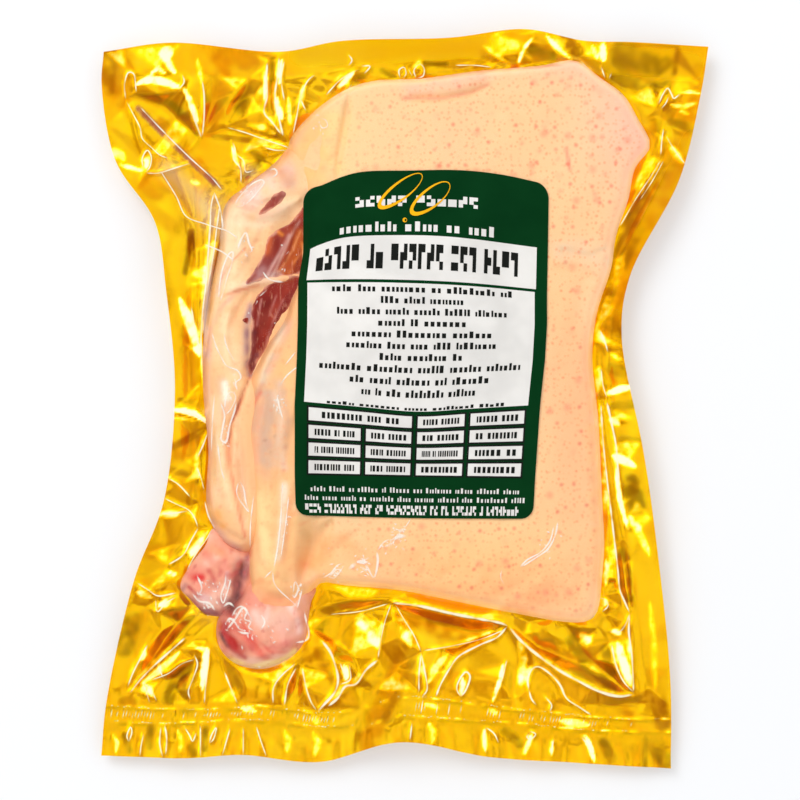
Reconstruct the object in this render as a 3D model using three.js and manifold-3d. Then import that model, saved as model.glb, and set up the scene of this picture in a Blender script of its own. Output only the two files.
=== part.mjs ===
// Two raw duck leg quarters, vacuum packed: a pouch with a gold foil back and a clear film front,
// drawn tight over the meat and heat sealed round its edge, with a printed label on the front.
//
// The pack lies on its back with the clear side up. X runs across it, Y along it towards the
// pouch's factory-sealed end, and Z up. The origin is under the middle of the pack, on the table.
// Sizes are in millimetres.
//
// The pouch is a 250 by 300 sheet before it is filled, and the meat pulls its long sides in to a waist.
// Both sheets are moulded spheres: the upper pole is the middle of the top face, the equator is the
// pouch's edge, and the lower pole is the middle of the underside. Spokes run out from the middle
// through the outline of the meat to the edge, so the mesh follows the foot of the meat and the seal.
import * as THREE from "three";
import { mergeVertices } from "three/addons/utils/BufferGeometryUtils.js";
import Module from "manifold-3d";

const wasm = await Module();
wasm.setup();

// Driving dimensions
const FOIL = 0.7; // foil back, thickened from 0.12 so that it is a sound solid
const FILM = 0.5; // clear front where it lies on the foil
const GAP = 0.3; // between touching pieces
const LABEL = 0.6; // label, with its adhesive
const MIDDLE = new THREE.Vector2(0, 18); // where the spokes start
const SEAL = 13; // width of the heat seal along the edge
const FOOT = 2.5; // how far outside the meat the film comes down to the foil
const FOIL_LEVEL = 7.5; // height of the foil beside the meat
const WIDEST = 14; // height of the meat's widest line above the table
const PAN_WALL = 0.95; // share of the meat's reach where the foil is half way down under it
const PAN_WALL_LEVEL = 0.45; // height there, as a share of the level beside the meat
const PAN_FLOOR = 0.86; // share of the meat's reach that lies flat on the table
const SPOKES = { left: 30, bottom: 25, right: 31, top: 24 };
const MEAT_RINGS = [0.13, 0.26, 0.38, 0.49, 0.59, 0.68, 0.76, 0.83, 0.89, 0.94, 0.98];
const FOIL_RINGS = [0.3, 0.62];
const FOLD = 1.6; // height of the folds in the foil between the meat and the seal
const RIM_RISE = 0.6; // share of the rise to the pouch's edge that comes before the seal
const SEAL_RISE = 0.75; // and up to the middle of the seal

// Edges of the pouch as space curves, x, y and height, taken once round against the clock
const CORNER = {
  topLeft: [-120.4, 139.2, 7],
  bottomLeft: [-121.6, -142.8, 5],
  bottomRight: [107.2, -148, 5],
  topRight: [122, 141.6, 8],
};
const EDGE = {
  left: [
    CORNER.topLeft,
    [-121.2, 126, 8],
    [-115.6, 96, 11],
    [-99.6, 71.2, 15],
    [-95, 44, 17],
    [-91.6, 4, 17],
    [-96, -40, 15],
    [-108, -72, 12],
    [-119.2, -120, 7],
    CORNER.bottomLeft,
  ],
  bottom: [
    CORNER.bottomLeft,
    [-85.6, -143.6, 7],
    [-65.6, -142.2, 9],
    [-33.6, -145.2, 5],
    [-1.6, -136.8, 14],
    [34.4, -143.2, 8],
    [62.4, -145.2, 6],
    CORNER.bottomRight,
  ],
  right: [
    CORNER.bottomRight,
    [106.8, -112, 8],
    [100.4, -52, 12],
    [95.6, -20, 15],
    [87, 26, 17],
    [90.4, 49.6, 17],
    [110.4, 88.8, 13],
    [119.2, 124, 9],
    CORNER.topRight,
  ],
  top: [
    CORNER.topRight,
    [90.4, 143.4, 11],
    [72.4, 144, 8],
    [48.4, 148.4, 13],
    [18.4, 145.2, 9],
    [-25.6, 143.6, 12],
    [-49.6, 139.6, 7],
    [-93.6, 143, 12],
    CORNER.topLeft,
  ],
};

// Thigh of the front leg, with the skin flap that spreads to the right: its outline in plan
const THIGH = [
  [-40, 110],
  [-21.6, 124.8],
  [6.4, 128.4],
  [54.4, 133.6],
  [69, 134.5],
  [87.2, 122.4],
  [98.2, 101],
  [89.6, 80],
  [82.8, 52.8],
  [75.2, 18],
  [79.2, -40],
  [78.6, -75],
  [62.4, -88],
  [18.4, -80],
  [-26, -73.5],
  [-46, -50],
  [-58, 2],
  [-45, 32],
  [-41, 77],
];
const THIGH_ROUNDING = 13; // width of the rounded border of the thigh
const FLAP_CREST = 19; // height of the skin flap, where the meat is thinnest
const THIGH_MOUND = { x: -14, y: 18, rise: 14, radius: 62, stretch: 1.5 }; // thick over the bone
const CORNER_MOUND = { x: 40, y: -50, rise: 2, radius: 45, stretch: 1 };

// Back leg, mostly under the front one: its thigh and the fat round it
const BACK_THIGH = [
  [-71.2, 78.8],
  [-51.6, 94.8],
  [-38, 106],
  [-34, 60],
  [-38, 20],
  [-52, -30],
  [-60, -62],
  [-75.2, -52],
  [-78.4, -40],
  [-80, 2],
  [-79.6, 28],
];
const BACK_ROUNDING = 9;
const BACK_CREST = 25.5;

// Drumsticks and their cut knuckles: x, y, radius and height of the crest along the bone
const FRONT_DRUMSTICK = [
  [-34, 6, 24, 33.5],
  [-42, -20, 20.4, 33],
  [-47.5, -50, 14.6, 31],
  [-51, -76, 13.4, 28],
];
const FRONT_KNUCKLE = [
  [-54, -86, 15.5, 27.5],
  [-57.5, -91.5, 16.4, 26.5],
];
const BACK_DRUMSTICK = [
  [-66, 4, 14, 26],
  [-66.5, -30, 12, 25.5],
  [-66, -54, 9.5, 23.5],
];
const BACK_KNUCKLE = [
  [-71, -62, 9.5, 22],
  [-77.5, -74.5, 11.2, 21.5],
];

const MEAT_BLEND = 2; // height over which two forms of the meat run into each other

// Bare muscle between the two skins: a furrow along this line, with its half width and depth
const FURROW = [
  [-42, 76, 6, 3],
  [-52, 48, 9, 5],
  [-52, 30, 9, 5.5],
  [-61, 10, 4, 4],
];

// Label: corners of the printed sheet in plan, and the rounding of its corners
const LABEL_CORNER = {
  bottomLeft: [-42.8, -46],
  bottomRight: [52.6, -46.6],
  topRight: [58, 86.5],
  topLeft: [-41, 84.5],
};
const LABEL_CROWN = 4.5; // how far the label's top edge bows upwards
const LABEL_ROUNDING = 5;
const LABEL_CELLS = [12, 16];
const LABEL_BRIDGE = 5; // the label is too stiff to follow a hollow narrower than this
const LABEL_SLAB = 6; // depth of the slab before the film's relief is cut from its back
const ABOVE_ALL = 80; // a height well over the pack

const MATERIAL = {
  foil: new THREE.MeshStandardMaterial({ color: 0xf2b70f, roughness: 0.24, metalness: 1 }),
  skin: new THREE.MeshStandardMaterial({ color: 0xf8c99a, roughness: 0.22, metalness: 0 }),
  print: new THREE.MeshStandardMaterial({ color: 0x0b4630, roughness: 0.35, metalness: 0 }),
};

const clamp01 = (value) => Math.min(1, Math.max(0, value));
const mix = (a, b, share) => a + (b - a) * share;
const bell = (distance, width) => Math.exp(-((distance / width) ** 2));
const roundedRise = (share) => Math.sqrt(1 - (1 - clamp01(share)) ** 2);

// The larger of two heights, blended over a width where they meet
function softMax(a, b, width) {
  const share = clamp01(0.5 + (a - b) / (2 * width));
  return mix(b, a, share) + width * share * (1 - share);
}

function closedCurve(points, samples = 160) {
  const curve = new THREE.CatmullRomCurve3(
    points.map(([x, y]) => new THREE.Vector3(x, y, 0)),
    true,
    "centripetal",
  );
  return curve.getSpacedPoints(samples).slice(0, samples);
}

// Distance from a point to a closed polygon, positive inside
function insideBy(polygon, x, y) {
  let nearest = Infinity;
  let inside = false;
  polygon.forEach((a, i) => {
    const b = polygon[(i + 1) % polygon.length];
    const along = clamp01(
      ((x - a.x) * (b.x - a.x) + (y - a.y) * (b.y - a.y)) / ((b.x - a.x) ** 2 + (b.y - a.y) ** 2),
    );
    nearest = Math.min(nearest, Math.hypot(x - mix(a.x, b.x, along), y - mix(a.y, b.y, along)));
    if (a.y > y !== b.y > y && x < a.x + ((y - a.y) / (b.y - a.y)) * (b.x - a.x)) inside = !inside;
  });
  return inside ? nearest : -nearest;
}

// Nearest place on a line of [x, y, size, height] stations, with both values worked out there
function nearestOn(stations, x, y) {
  let best = { distance: Infinity };
  for (let i = 0; i + 1 < stations.length; i++) {
    const [ax, ay, aSize, aHeight] = stations[i];
    const [bx, by, bSize, bHeight] = stations[i + 1];
    const along = clamp01(
      ((x - ax) * (bx - ax) + (y - ay) * (by - ay)) / ((bx - ax) ** 2 + (by - ay) ** 2),
    );
    const distance = Math.hypot(x - mix(ax, bx, along), y - mix(ay, by, along));
    if (distance < best.distance)
      best = { distance, size: mix(aSize, bSize, along), height: mix(aHeight, bHeight, along) };
  }
  return best;
}

const thighOutline = closedCurve(THIGH);
const backOutline = closedCurve(BACK_THIGH);

// Height of a soft mound, stretched along Y
function mound({ x: middleX, y: middleY, rise, radius, stretch }, x, y) {
  return rise * bell(Math.hypot(x - middleX, (y - middleY) / stretch), radius);
}

const thighCrest = (x, y) => FLAP_CREST + mound(THIGH_MOUND, x, y) + mound(CORNER_MOUND, x, y);

function pillow(outline, rounding, crest, x, y) {
  const depth = insideBy(outline, x, y);
  return depth <= 0 ? -Infinity : mix(WIDEST, crest, roundedRise(depth / rounding));
}

function roll(stations, x, y) {
  const { distance, size, height } = nearestOn(stations, x, y);
  return distance >= size ? -Infinity : mix(WIDEST, height, Math.sqrt(1 - (distance / size) ** 2));
}

// Top of the meat under the film, or -Infinity beside it
function meatTop(x, y) {
  const forms = [
    pillow(thighOutline, THIGH_ROUNDING, thighCrest(x, y), x, y),
    pillow(backOutline, BACK_ROUNDING, BACK_CREST, x, y),
    roll(FRONT_DRUMSTICK, x, y),
    roll(FRONT_KNUCKLE, x, y),
    roll(BACK_DRUMSTICK, x, y),
    roll(BACK_KNUCKLE, x, y),
  ].filter(Number.isFinite);
  if (!forms.length) return -Infinity;
  const top = forms.reduce((a, b) => softMax(a, b, MEAT_BLEND));
  const furrow = nearestOn(FURROW, x, y);
  return Math.max(WIDEST, top - furrow.height * bell(furrow.distance, furrow.size));
}

// Spokes: each has its point on the pouch's edge and the reach of the meat towards it
function makeSpokes() {
  return Object.entries(SPOKES).flatMap(([name, count]) => {
    const curve = new THREE.CatmullRomCurve3(EDGE[name].map((p) => new THREE.Vector3(...p)));
    return curve.getSpacedPoints(count).slice(0, count);
  });
}

const STEPS = 240; // samples along a spoke when looking for the meat's outline
const spokes = makeSpokes().map((edge, index) => {
  const out = new THREE.Vector2(edge.x, edge.y).sub(MIDDLE);
  const length = out.length();
  const direction = out.clone().normalize();
  let reach = length;
  for (let step = STEPS; step > 0; step--) {
    reach = (length * step) / STEPS;
    if (meatTop(MIDDLE.x + direction.x * reach, MIDDLE.y + direction.y * reach) > 0) break;
  }
  return { index, edge, direction, length, reach };
});

// The sheets are stiffer than the meat's outline: the film bridges its notches from outside, and the
// foil under it rounds them off from inside
const neighbours = (index, side) =>
  Array.from({ length: 2 * side + 1 }, (_, i) => spokes.at((index + i - side) % spokes.length));
const mean = (values) => values.reduce((a, b) => a + b, 0) / values.length;
const narrowest = (index) => Math.min(...neighbours(index, 2).map((spoke) => spoke.reach));
spokes.forEach((spoke) => {
  const near = neighbours(spoke.index, 2);
  const bridged = Math.max(spoke.reach, mean(near.map(({ reach }) => reach)));
  spoke.foot = Math.min(bridged + FOOT, spoke.length - 6);
  spoke.reach = Math.min(spoke.reach, spoke.foot - FOOT);
  spoke.pan = mean(near.map(({ index }) => narrowest(index)));
  spoke.seal = mix(spoke.foot, spoke.length, 1 - Math.min(0.5, SEAL / (spoke.length - spoke.foot)));
});

// Folds in the foil: neighbouring spokes go up and down by turns, deeper where the foil is wide
function fold(spoke, ring) {
  const wide = clamp01((spoke.seal - spoke.foot) / 30);
  const turn = Math.sin(spoke.index * 1.9 + ring * 2.3) + 0.6 * Math.sin(spoke.index * 0.83 - ring);
  return FOLD * wide * turn;
}

const along = (spoke, distance, height) => [
  MIDDLE.x + spoke.direction.x * distance,
  MIDDLE.y + spoke.direction.y * distance,
  height,
];

// Top face of the foil back, from the table under the meat out to the edge, as one station for each ring
function foilStations(spoke) {
  const { pan, foot, seal, length, edge } = spoke;
  const rise = edge.z - FOIL_LEVEL;
  return [
    [PAN_FLOOR * pan, 0],
    [PAN_WALL * pan, PAN_WALL_LEVEL * FOIL_LEVEL],
    [foot, FOIL_LEVEL],
    ...FOIL_RINGS.map((share, ring) => [
      mix(foot, seal, share),
      FOIL_LEVEL + rise * share * RIM_RISE + fold(spoke, ring),
    ]),
    [seal, FOIL_LEVEL + rise * SEAL_RISE + 0.4 * fold(spoke, FOIL_RINGS.length + 1)],
    [length, edge.z],
  ].map(([distance, height]) => along(spoke, distance, height + FOIL));
}

const raised = (stations, by) => stations.map(([x, y, z]) => [x, y, z + by]);

// Upper face of the film: over the crown of the meat, down its side, then on the foil to the edge
function filmStations(spoke) {
  const overMeat = MEAT_RINGS.map((share) => {
    const [x, y] = along(spoke, share * spoke.reach, 0);
    return [x, y, Math.max(WIDEST, meatTop(x, y)) + FILM];
  });
  const side = along(spoke, spoke.reach + 0.3, WIDEST - 1);
  return [...overMeat, side, ...raised(foilStations(spoke).slice(2), GAP + FILM)];
}

// Moulds a sphere: its rings of latitude become the given rings of stations, one for each spoke.
// Below the equator the squares are split the other way, so that two sheets that share their
// stations are split alike and stay clear of each other.
function mould(topRings, underRings, topPole, underPole, material, name) {
  const rings = [...topRings, ...underRings];
  const sphere = new THREE.SphereGeometry(1, spokes.length, rings.length + 1);
  const position = sphere.attributes.position;
  const across = spokes.length + 1;
  for (let i = 0; i < position.count; i++) {
    const row = Math.floor(i / across);
    const spoke = (i % across) % spokes.length;
    const pole = row === 0 ? topPole : row > rings.length ? underPole : null;
    position.setXYZ(i, ...(pole ?? rings[row - 1][spoke]));
  }
  const triangles = [];
  for (let row = 0; row <= rings.length; row++)
    for (let spoke = 0; spoke < spokes.length; spoke++) {
      const b = row * across + spoke;
      const [a, c, d] = [b + 1, b + across, b + across + 1];
      const under = row >= topRings.length;
      if (row > 0) triangles.push(...(under ? [a, b, c] : [a, b, d]));
      if (row < rings.length) triangles.push(...(under && row > 0 ? [a, c, d] : [b, c, d]));
    }
  sphere.setIndex(triangles);
  return finished(sphere, material, name);
}

function finished(geometry, material, name) {
  geometry.deleteAttribute("normal");
  geometry.deleteAttribute("uv");
  const mesh = new THREE.Mesh(mergeVertices(geometry, 1e-4), material);
  mesh.name = name;
  return mesh;
}

// Turns one list of stations for each spoke into one ring for each station
const ringsOf = (stations) => stations[0].map((_, ring) => stations.map((list) => list[ring]));

function makeFoilBack() {
  const top = ringsOf(spokes.map(foilStations));
  const under = ringsOf(spokes.map((spoke) => raised(foilStations(spoke), -FOIL))).reverse();
  const [x, y] = MIDDLE.toArray();
  return mould(top, under, [x, y, FOIL], [x, y, 0], MATERIAL.foil, "gold_foil_back");
}

function makeClearBag() {
  const top = ringsOf(spokes.map(filmStations));
  const under = ringsOf(spokes.map((spoke) => raised(foilStations(spoke), GAP))).reverse();
  const [x, y] = MIDDLE.toArray();
  const crown = [x, y, meatTop(x, y) + FILM];
  return mould(top, under, crown, [x, y, FOIL + GAP], MATERIAL.skin, "clear_bag");
}

// Label: a slab bent over the film, trimmed to its outline, with the film's own relief cut from its back
function solidOf(mesh) {
  return new wasm.Manifold(
    new wasm.Mesh({
      numProp: 3,
      vertProperties: new Float32Array(mesh.geometry.attributes.position.array),
      triVerts: new Uint32Array(mesh.geometry.index.array),
    }),
  );
}

function geometryOf(solid) {
  const { vertProperties, triVerts } = solid.getMesh();
  const geometry = new THREE.BufferGeometry();
  geometry.setAttribute("position", new THREE.BufferAttribute(vertProperties, 3));
  return geometry.setIndex(new THREE.BufferAttribute(triVerts, 1));
}

// Plan position of a place on the label, with both shares from 0 to 1
function labelPlan(across, up) {
  const { bottomLeft, bottomRight, topRight, topLeft } = LABEL_CORNER;
  const corner = (i) =>
    mix(mix(bottomLeft[i], bottomRight[i], across), mix(topLeft[i], topRight[i], across), up);
  return [corner(0), corner(1) + LABEL_CROWN * up * 4 * across * (1 - across)];
}

const COMPASS = [0, 1, 2, 3, 4, 5, 6, 7].map((i) => (i * Math.PI) / 4);

function underLabel(x, y) {
  const around = COMPASS.map((angle) =>
    meatTop(x + LABEL_BRIDGE * Math.cos(angle), y + LABEL_BRIDGE * Math.sin(angle)),
  );
  return Math.max(meatTop(x, y), mean(around)) + FILM;
}

function makeLabel(bag) {
  const slab = new THREE.BoxGeometry(1, 1, 1, LABEL_CELLS[0], LABEL_CELLS[1], 1);
  const position = slab.attributes.position;
  for (let i = 0; i < position.count; i++) {
    const [x, y] = labelPlan(position.getX(i) + 0.5, position.getY(i) + 0.5);
    const film = underLabel(x, y);
    position.setXYZ(i, x, y, position.getZ(i) > 0 ? film + GAP + LABEL : film - LABEL_SLAB);
  }
  const outline = new THREE.Shape(roundedOutline());
  const cutter = new THREE.ExtrudeGeometry(outline, { depth: ABOVE_ALL, bevelEnabled: false });
  const trimmed = solidOf(finished(slab)).intersect(solidOf(finished(cutter)));
  const label = trimmed.subtract(solidOf(bag).translate([0, 0, GAP]));
  const pieces = label.decompose().sort((a, b) => b.volume() - a.volume());
  return finished(geometryOf(pieces[0]), MATERIAL.print, "label");
}

// Outline of the label in plan, with each corner rounded in the label's own sheet
function roundedOutline() {
  const { bottomLeft, bottomRight, topLeft } = LABEL_CORNER;
  const round = [
    LABEL_ROUNDING / (bottomRight[0] - bottomLeft[0]),
    LABEL_ROUNDING / (topLeft[1] - bottomLeft[1]),
  ];
  const centres = [
    [1 - round[0], 1 - round[1], 0],
    [round[0], 1 - round[1], 1],
    [round[0], round[1], 2],
    [1 - round[0], round[1], 3],
  ];
  const turns = 4;
  return centres.flatMap(([across, up, quarter]) =>
    Array.from({ length: turns + 1 }, (_, i) => {
      const angle = ((quarter + i / turns) * Math.PI) / 2;
      return new THREE.Vector2(
        ...labelPlan(across + round[0] * Math.cos(angle), up + round[1] * Math.sin(angle)),
      );
    }),
  );
}

const foilBack = makeFoilBack();
const clearBag = makeClearBag();
const label = makeLabel(clearBag);

const pack = new THREE.Group();
pack.name = "vacuum_packed_duck_leg_quarters";
pack.add(foilBack, clearBag, label);

// The origin goes under the middle of the pack
const box = new THREE.Box3().setFromObject(pack);
pack.position.set(-(box.min.x + box.max.x) / 2, -(box.min.y + box.max.y) / 2, -box.min.z);

export default pack;
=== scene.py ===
"""Two raw duck leg quarters in a vacuum pouch: the looks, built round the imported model.

Heights and colours are worked out as fields over the plan of the pack, on one grid, in millimetres.
Each piece then takes its places from them: the creased foil back, the two legs with their knuckles and
bare muscle, the clear film drawn over everything, and the label.
"""

import math
import random

import bpy
import numpy as np
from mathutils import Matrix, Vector
from mathutils.bvhtree import BVHTree
from mathutils.geometry import delaunay_2d_cdt


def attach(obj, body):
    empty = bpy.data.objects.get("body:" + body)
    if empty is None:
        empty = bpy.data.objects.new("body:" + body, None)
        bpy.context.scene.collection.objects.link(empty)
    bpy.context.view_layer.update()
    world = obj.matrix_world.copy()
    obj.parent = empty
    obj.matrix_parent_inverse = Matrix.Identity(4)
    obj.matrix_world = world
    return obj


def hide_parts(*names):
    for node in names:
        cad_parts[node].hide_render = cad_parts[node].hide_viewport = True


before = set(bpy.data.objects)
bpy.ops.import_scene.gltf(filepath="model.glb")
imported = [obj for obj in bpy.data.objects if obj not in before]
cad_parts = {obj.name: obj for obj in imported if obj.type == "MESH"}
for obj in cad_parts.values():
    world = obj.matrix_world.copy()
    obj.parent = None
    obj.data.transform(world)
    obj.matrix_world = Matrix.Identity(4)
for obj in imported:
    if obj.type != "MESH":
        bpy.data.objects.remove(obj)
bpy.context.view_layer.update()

# Driving dimensions, in millimetres
MM = 0.001
PICTURE = 800  # pixels of the photograph each way
PIXEL = 0.4  # of the pack, to a pixel of the photograph
ORIGIN = (404.5, 399.8)  # the pixel over the row's origin
HALF = (136, 162)  # half width and half height of the plan grid
STEP = 0.5  # of the plan grid
WIDEST = 14  # height of the meat's widest line
HEM = 12  # height at which the clear film draws the meat's edge down to the foil
FILM_GAP = 0.3  # between the film and what it lies on
SEAL = 13  # width of the heat seal along the sides and the top
SKIRT = (9, 21)  # the machine's double seal lies this far above the bottom edge
CREASE_LIFT = 1.25  # times the heights of the foil's creases
GROOVE_LIFT = 1.5  # times the depths of the skin's grooves
NO_MEAT = -50  # height of a form of the meat outside its outline
SCATTER_FROM = -118  # level in plan above which the foil has random creases too
SHEET_CELLS = (284, 344)  # of the foil and of the film, across and up
MEAT_CELL = 0.9  # of the legs' surfaces
KNUCKLE_CELL = 0.6  # of the knuckles' and the bare muscle's
RIBBON_CELL = 0.6  # along the bright folds of the foil and the film
FOLD_LIFT = 0.12  # of those folds, over what they lie on
LABEL_SIZE = (98, 132)  # for the sizes of its cells and corners

X, Y = np.meshgrid(
    np.arange(-HALF[0], HALF[0] + STEP, STEP),
    np.arange(-HALF[1], HALF[1] + STEP, STEP),
)

# The pouch's edges, and the outlines of the meat, as pixels of the photograph
EDGE = {
    "left": [
        (103, 51), (101, 85), (115, 160), (155, 222), (166.5, 290), (175, 390), (164, 500), (134, 580),
        (106, 700), (100, 757),
    ],
    "bottom": [
        (100, 757), (190, 759), (240, 755.5), (320, 763), (400, 742), (490, 758), (560, 763), (672, 770),
    ],
    "right": [
        (672, 770), (671, 680), (655, 530), (643, 450), (621.5, 335), (630, 276), (680, 178), (702, 90),
        (709, 46),
    ],
    "top": [
        (709, 46), (630, 41.5), (585, 40), (525, 29), (450, 37), (340, 41), (280, 51), (170, 42.5),
        (103, 51),
    ],
}

FRONT_LEG = [
    (350, 88), (375, 81), (420, 79), (480, 71), (540, 66), (575, 61), (600, 78), (624, 96), (637, 118),
    (650, 146), (635, 168), (628, 200), (616, 235), (611, 268), (597, 312), (592, 355), (598, 420),
    (602, 500), (604, 545), (601, 586), (599, 604), (594, 617), (582, 622), (560, 621), (510, 612),
    (450, 600), (400, 590), (345, 585), (324, 582), (318, 584), (313, 592), (304, 603), (280, 606),
    (258, 600), (251, 580), (249, 553), (251, 523), (251, 501), (246, 472), (244, 443), (246, 422),
    (250, 400), (248, 382), (258, 360), (266, 345), (284, 318), (289, 300), (297, 280), (300, 240),
    (303, 207), (300, 185), (290, 165), (289, 143), (302, 124), (325, 103),
]
BACK_LEG = [
    (245, 187), (275, 163), (295, 141), (330, 120), (345, 200), (340, 330), (310, 400), (290, 450),
    (275, 510), (262, 548), (247, 552), (230, 545), (216, 531), (207, 505), (209, 450), (204, 395),
    (203, 350), (209, 300), (219, 250), (226, 204),
]
FRONT_KNUCKLE = [
    (254, 580), (285, 585), (316, 588), (311, 602), (308, 622), (306, 638), (293, 655), (268, 667),
    (242, 665), (226, 655), (218, 640), (219, 618), (236, 600),
]
BACK_KNUCKLE = [
    (214, 528), (245, 545), (262, 556), (262, 590), (240, 618), (219, 616), (205, 613), (192, 600),
    (181, 587), (190, 566), (206, 545),
]
FRONT_KNUCKLE_MIDDLE = (268, 622)
BACK_KNUCKLE_MIDDLE = (216, 572)
MUSCLES = [
    [
        (259, 217), (262, 210), (268, 203), (275, 196), (283, 192), (288, 195), (284, 202), (276, 209),
        (267, 215),
    ],
    [
        (308, 200), (308, 272), (296, 276), (270, 279), (246, 286), (253, 274), (260, 262), (265, 254),
        (267, 244), (270, 237), (277, 231), (290, 224), (299, 214),
    ],
    [
        (270, 284), (285, 280), (300, 276), (301, 286), (297, 296), (290, 308), (276, 327), (268, 347),
        (260, 361), (251, 377), (247, 368), (250, 355), (251, 340), (252, 324), (252, 310), (255, 301),
        (262, 291),
    ],
    [
        (237, 318), (243, 319), (249, 317), (249, 326), (244, 322),
    ],
]

# Forms of the meat: centre lines as x, y, half width and height of the crest, or for the furrow its depth
FRONT_SHAFT = [(-34, 6, 24, 33.5), (-42, -20, 20.4, 33), (-47.5, -50, 14.6, 31), (-51, -76, 13.4, 28)]
BACK_SHAFT = [(-66, 4, 15, 26), (-66.5, -30, 13, 25.5), (-66, -54, 11, 23.5)]
FURROW = [(-42, 76, 6, 3), (-52, 48, 9, 5), (-52, 30, 9, 5.5), (-61, 10, 4, 4)]
THIGH_HEIGHT = 19
THIGH_MOUNDS = [(-14, 18, 14, 62, 1.5), (40, -50, 2, 45, 1)]  # x, y, height, radius and stretch in Y
SHANK_LINE = [(-58, 78), (-68, 40), (-70, -10), (-62, -50), (-62, -88)]  # the film wrinkles most along it

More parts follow.
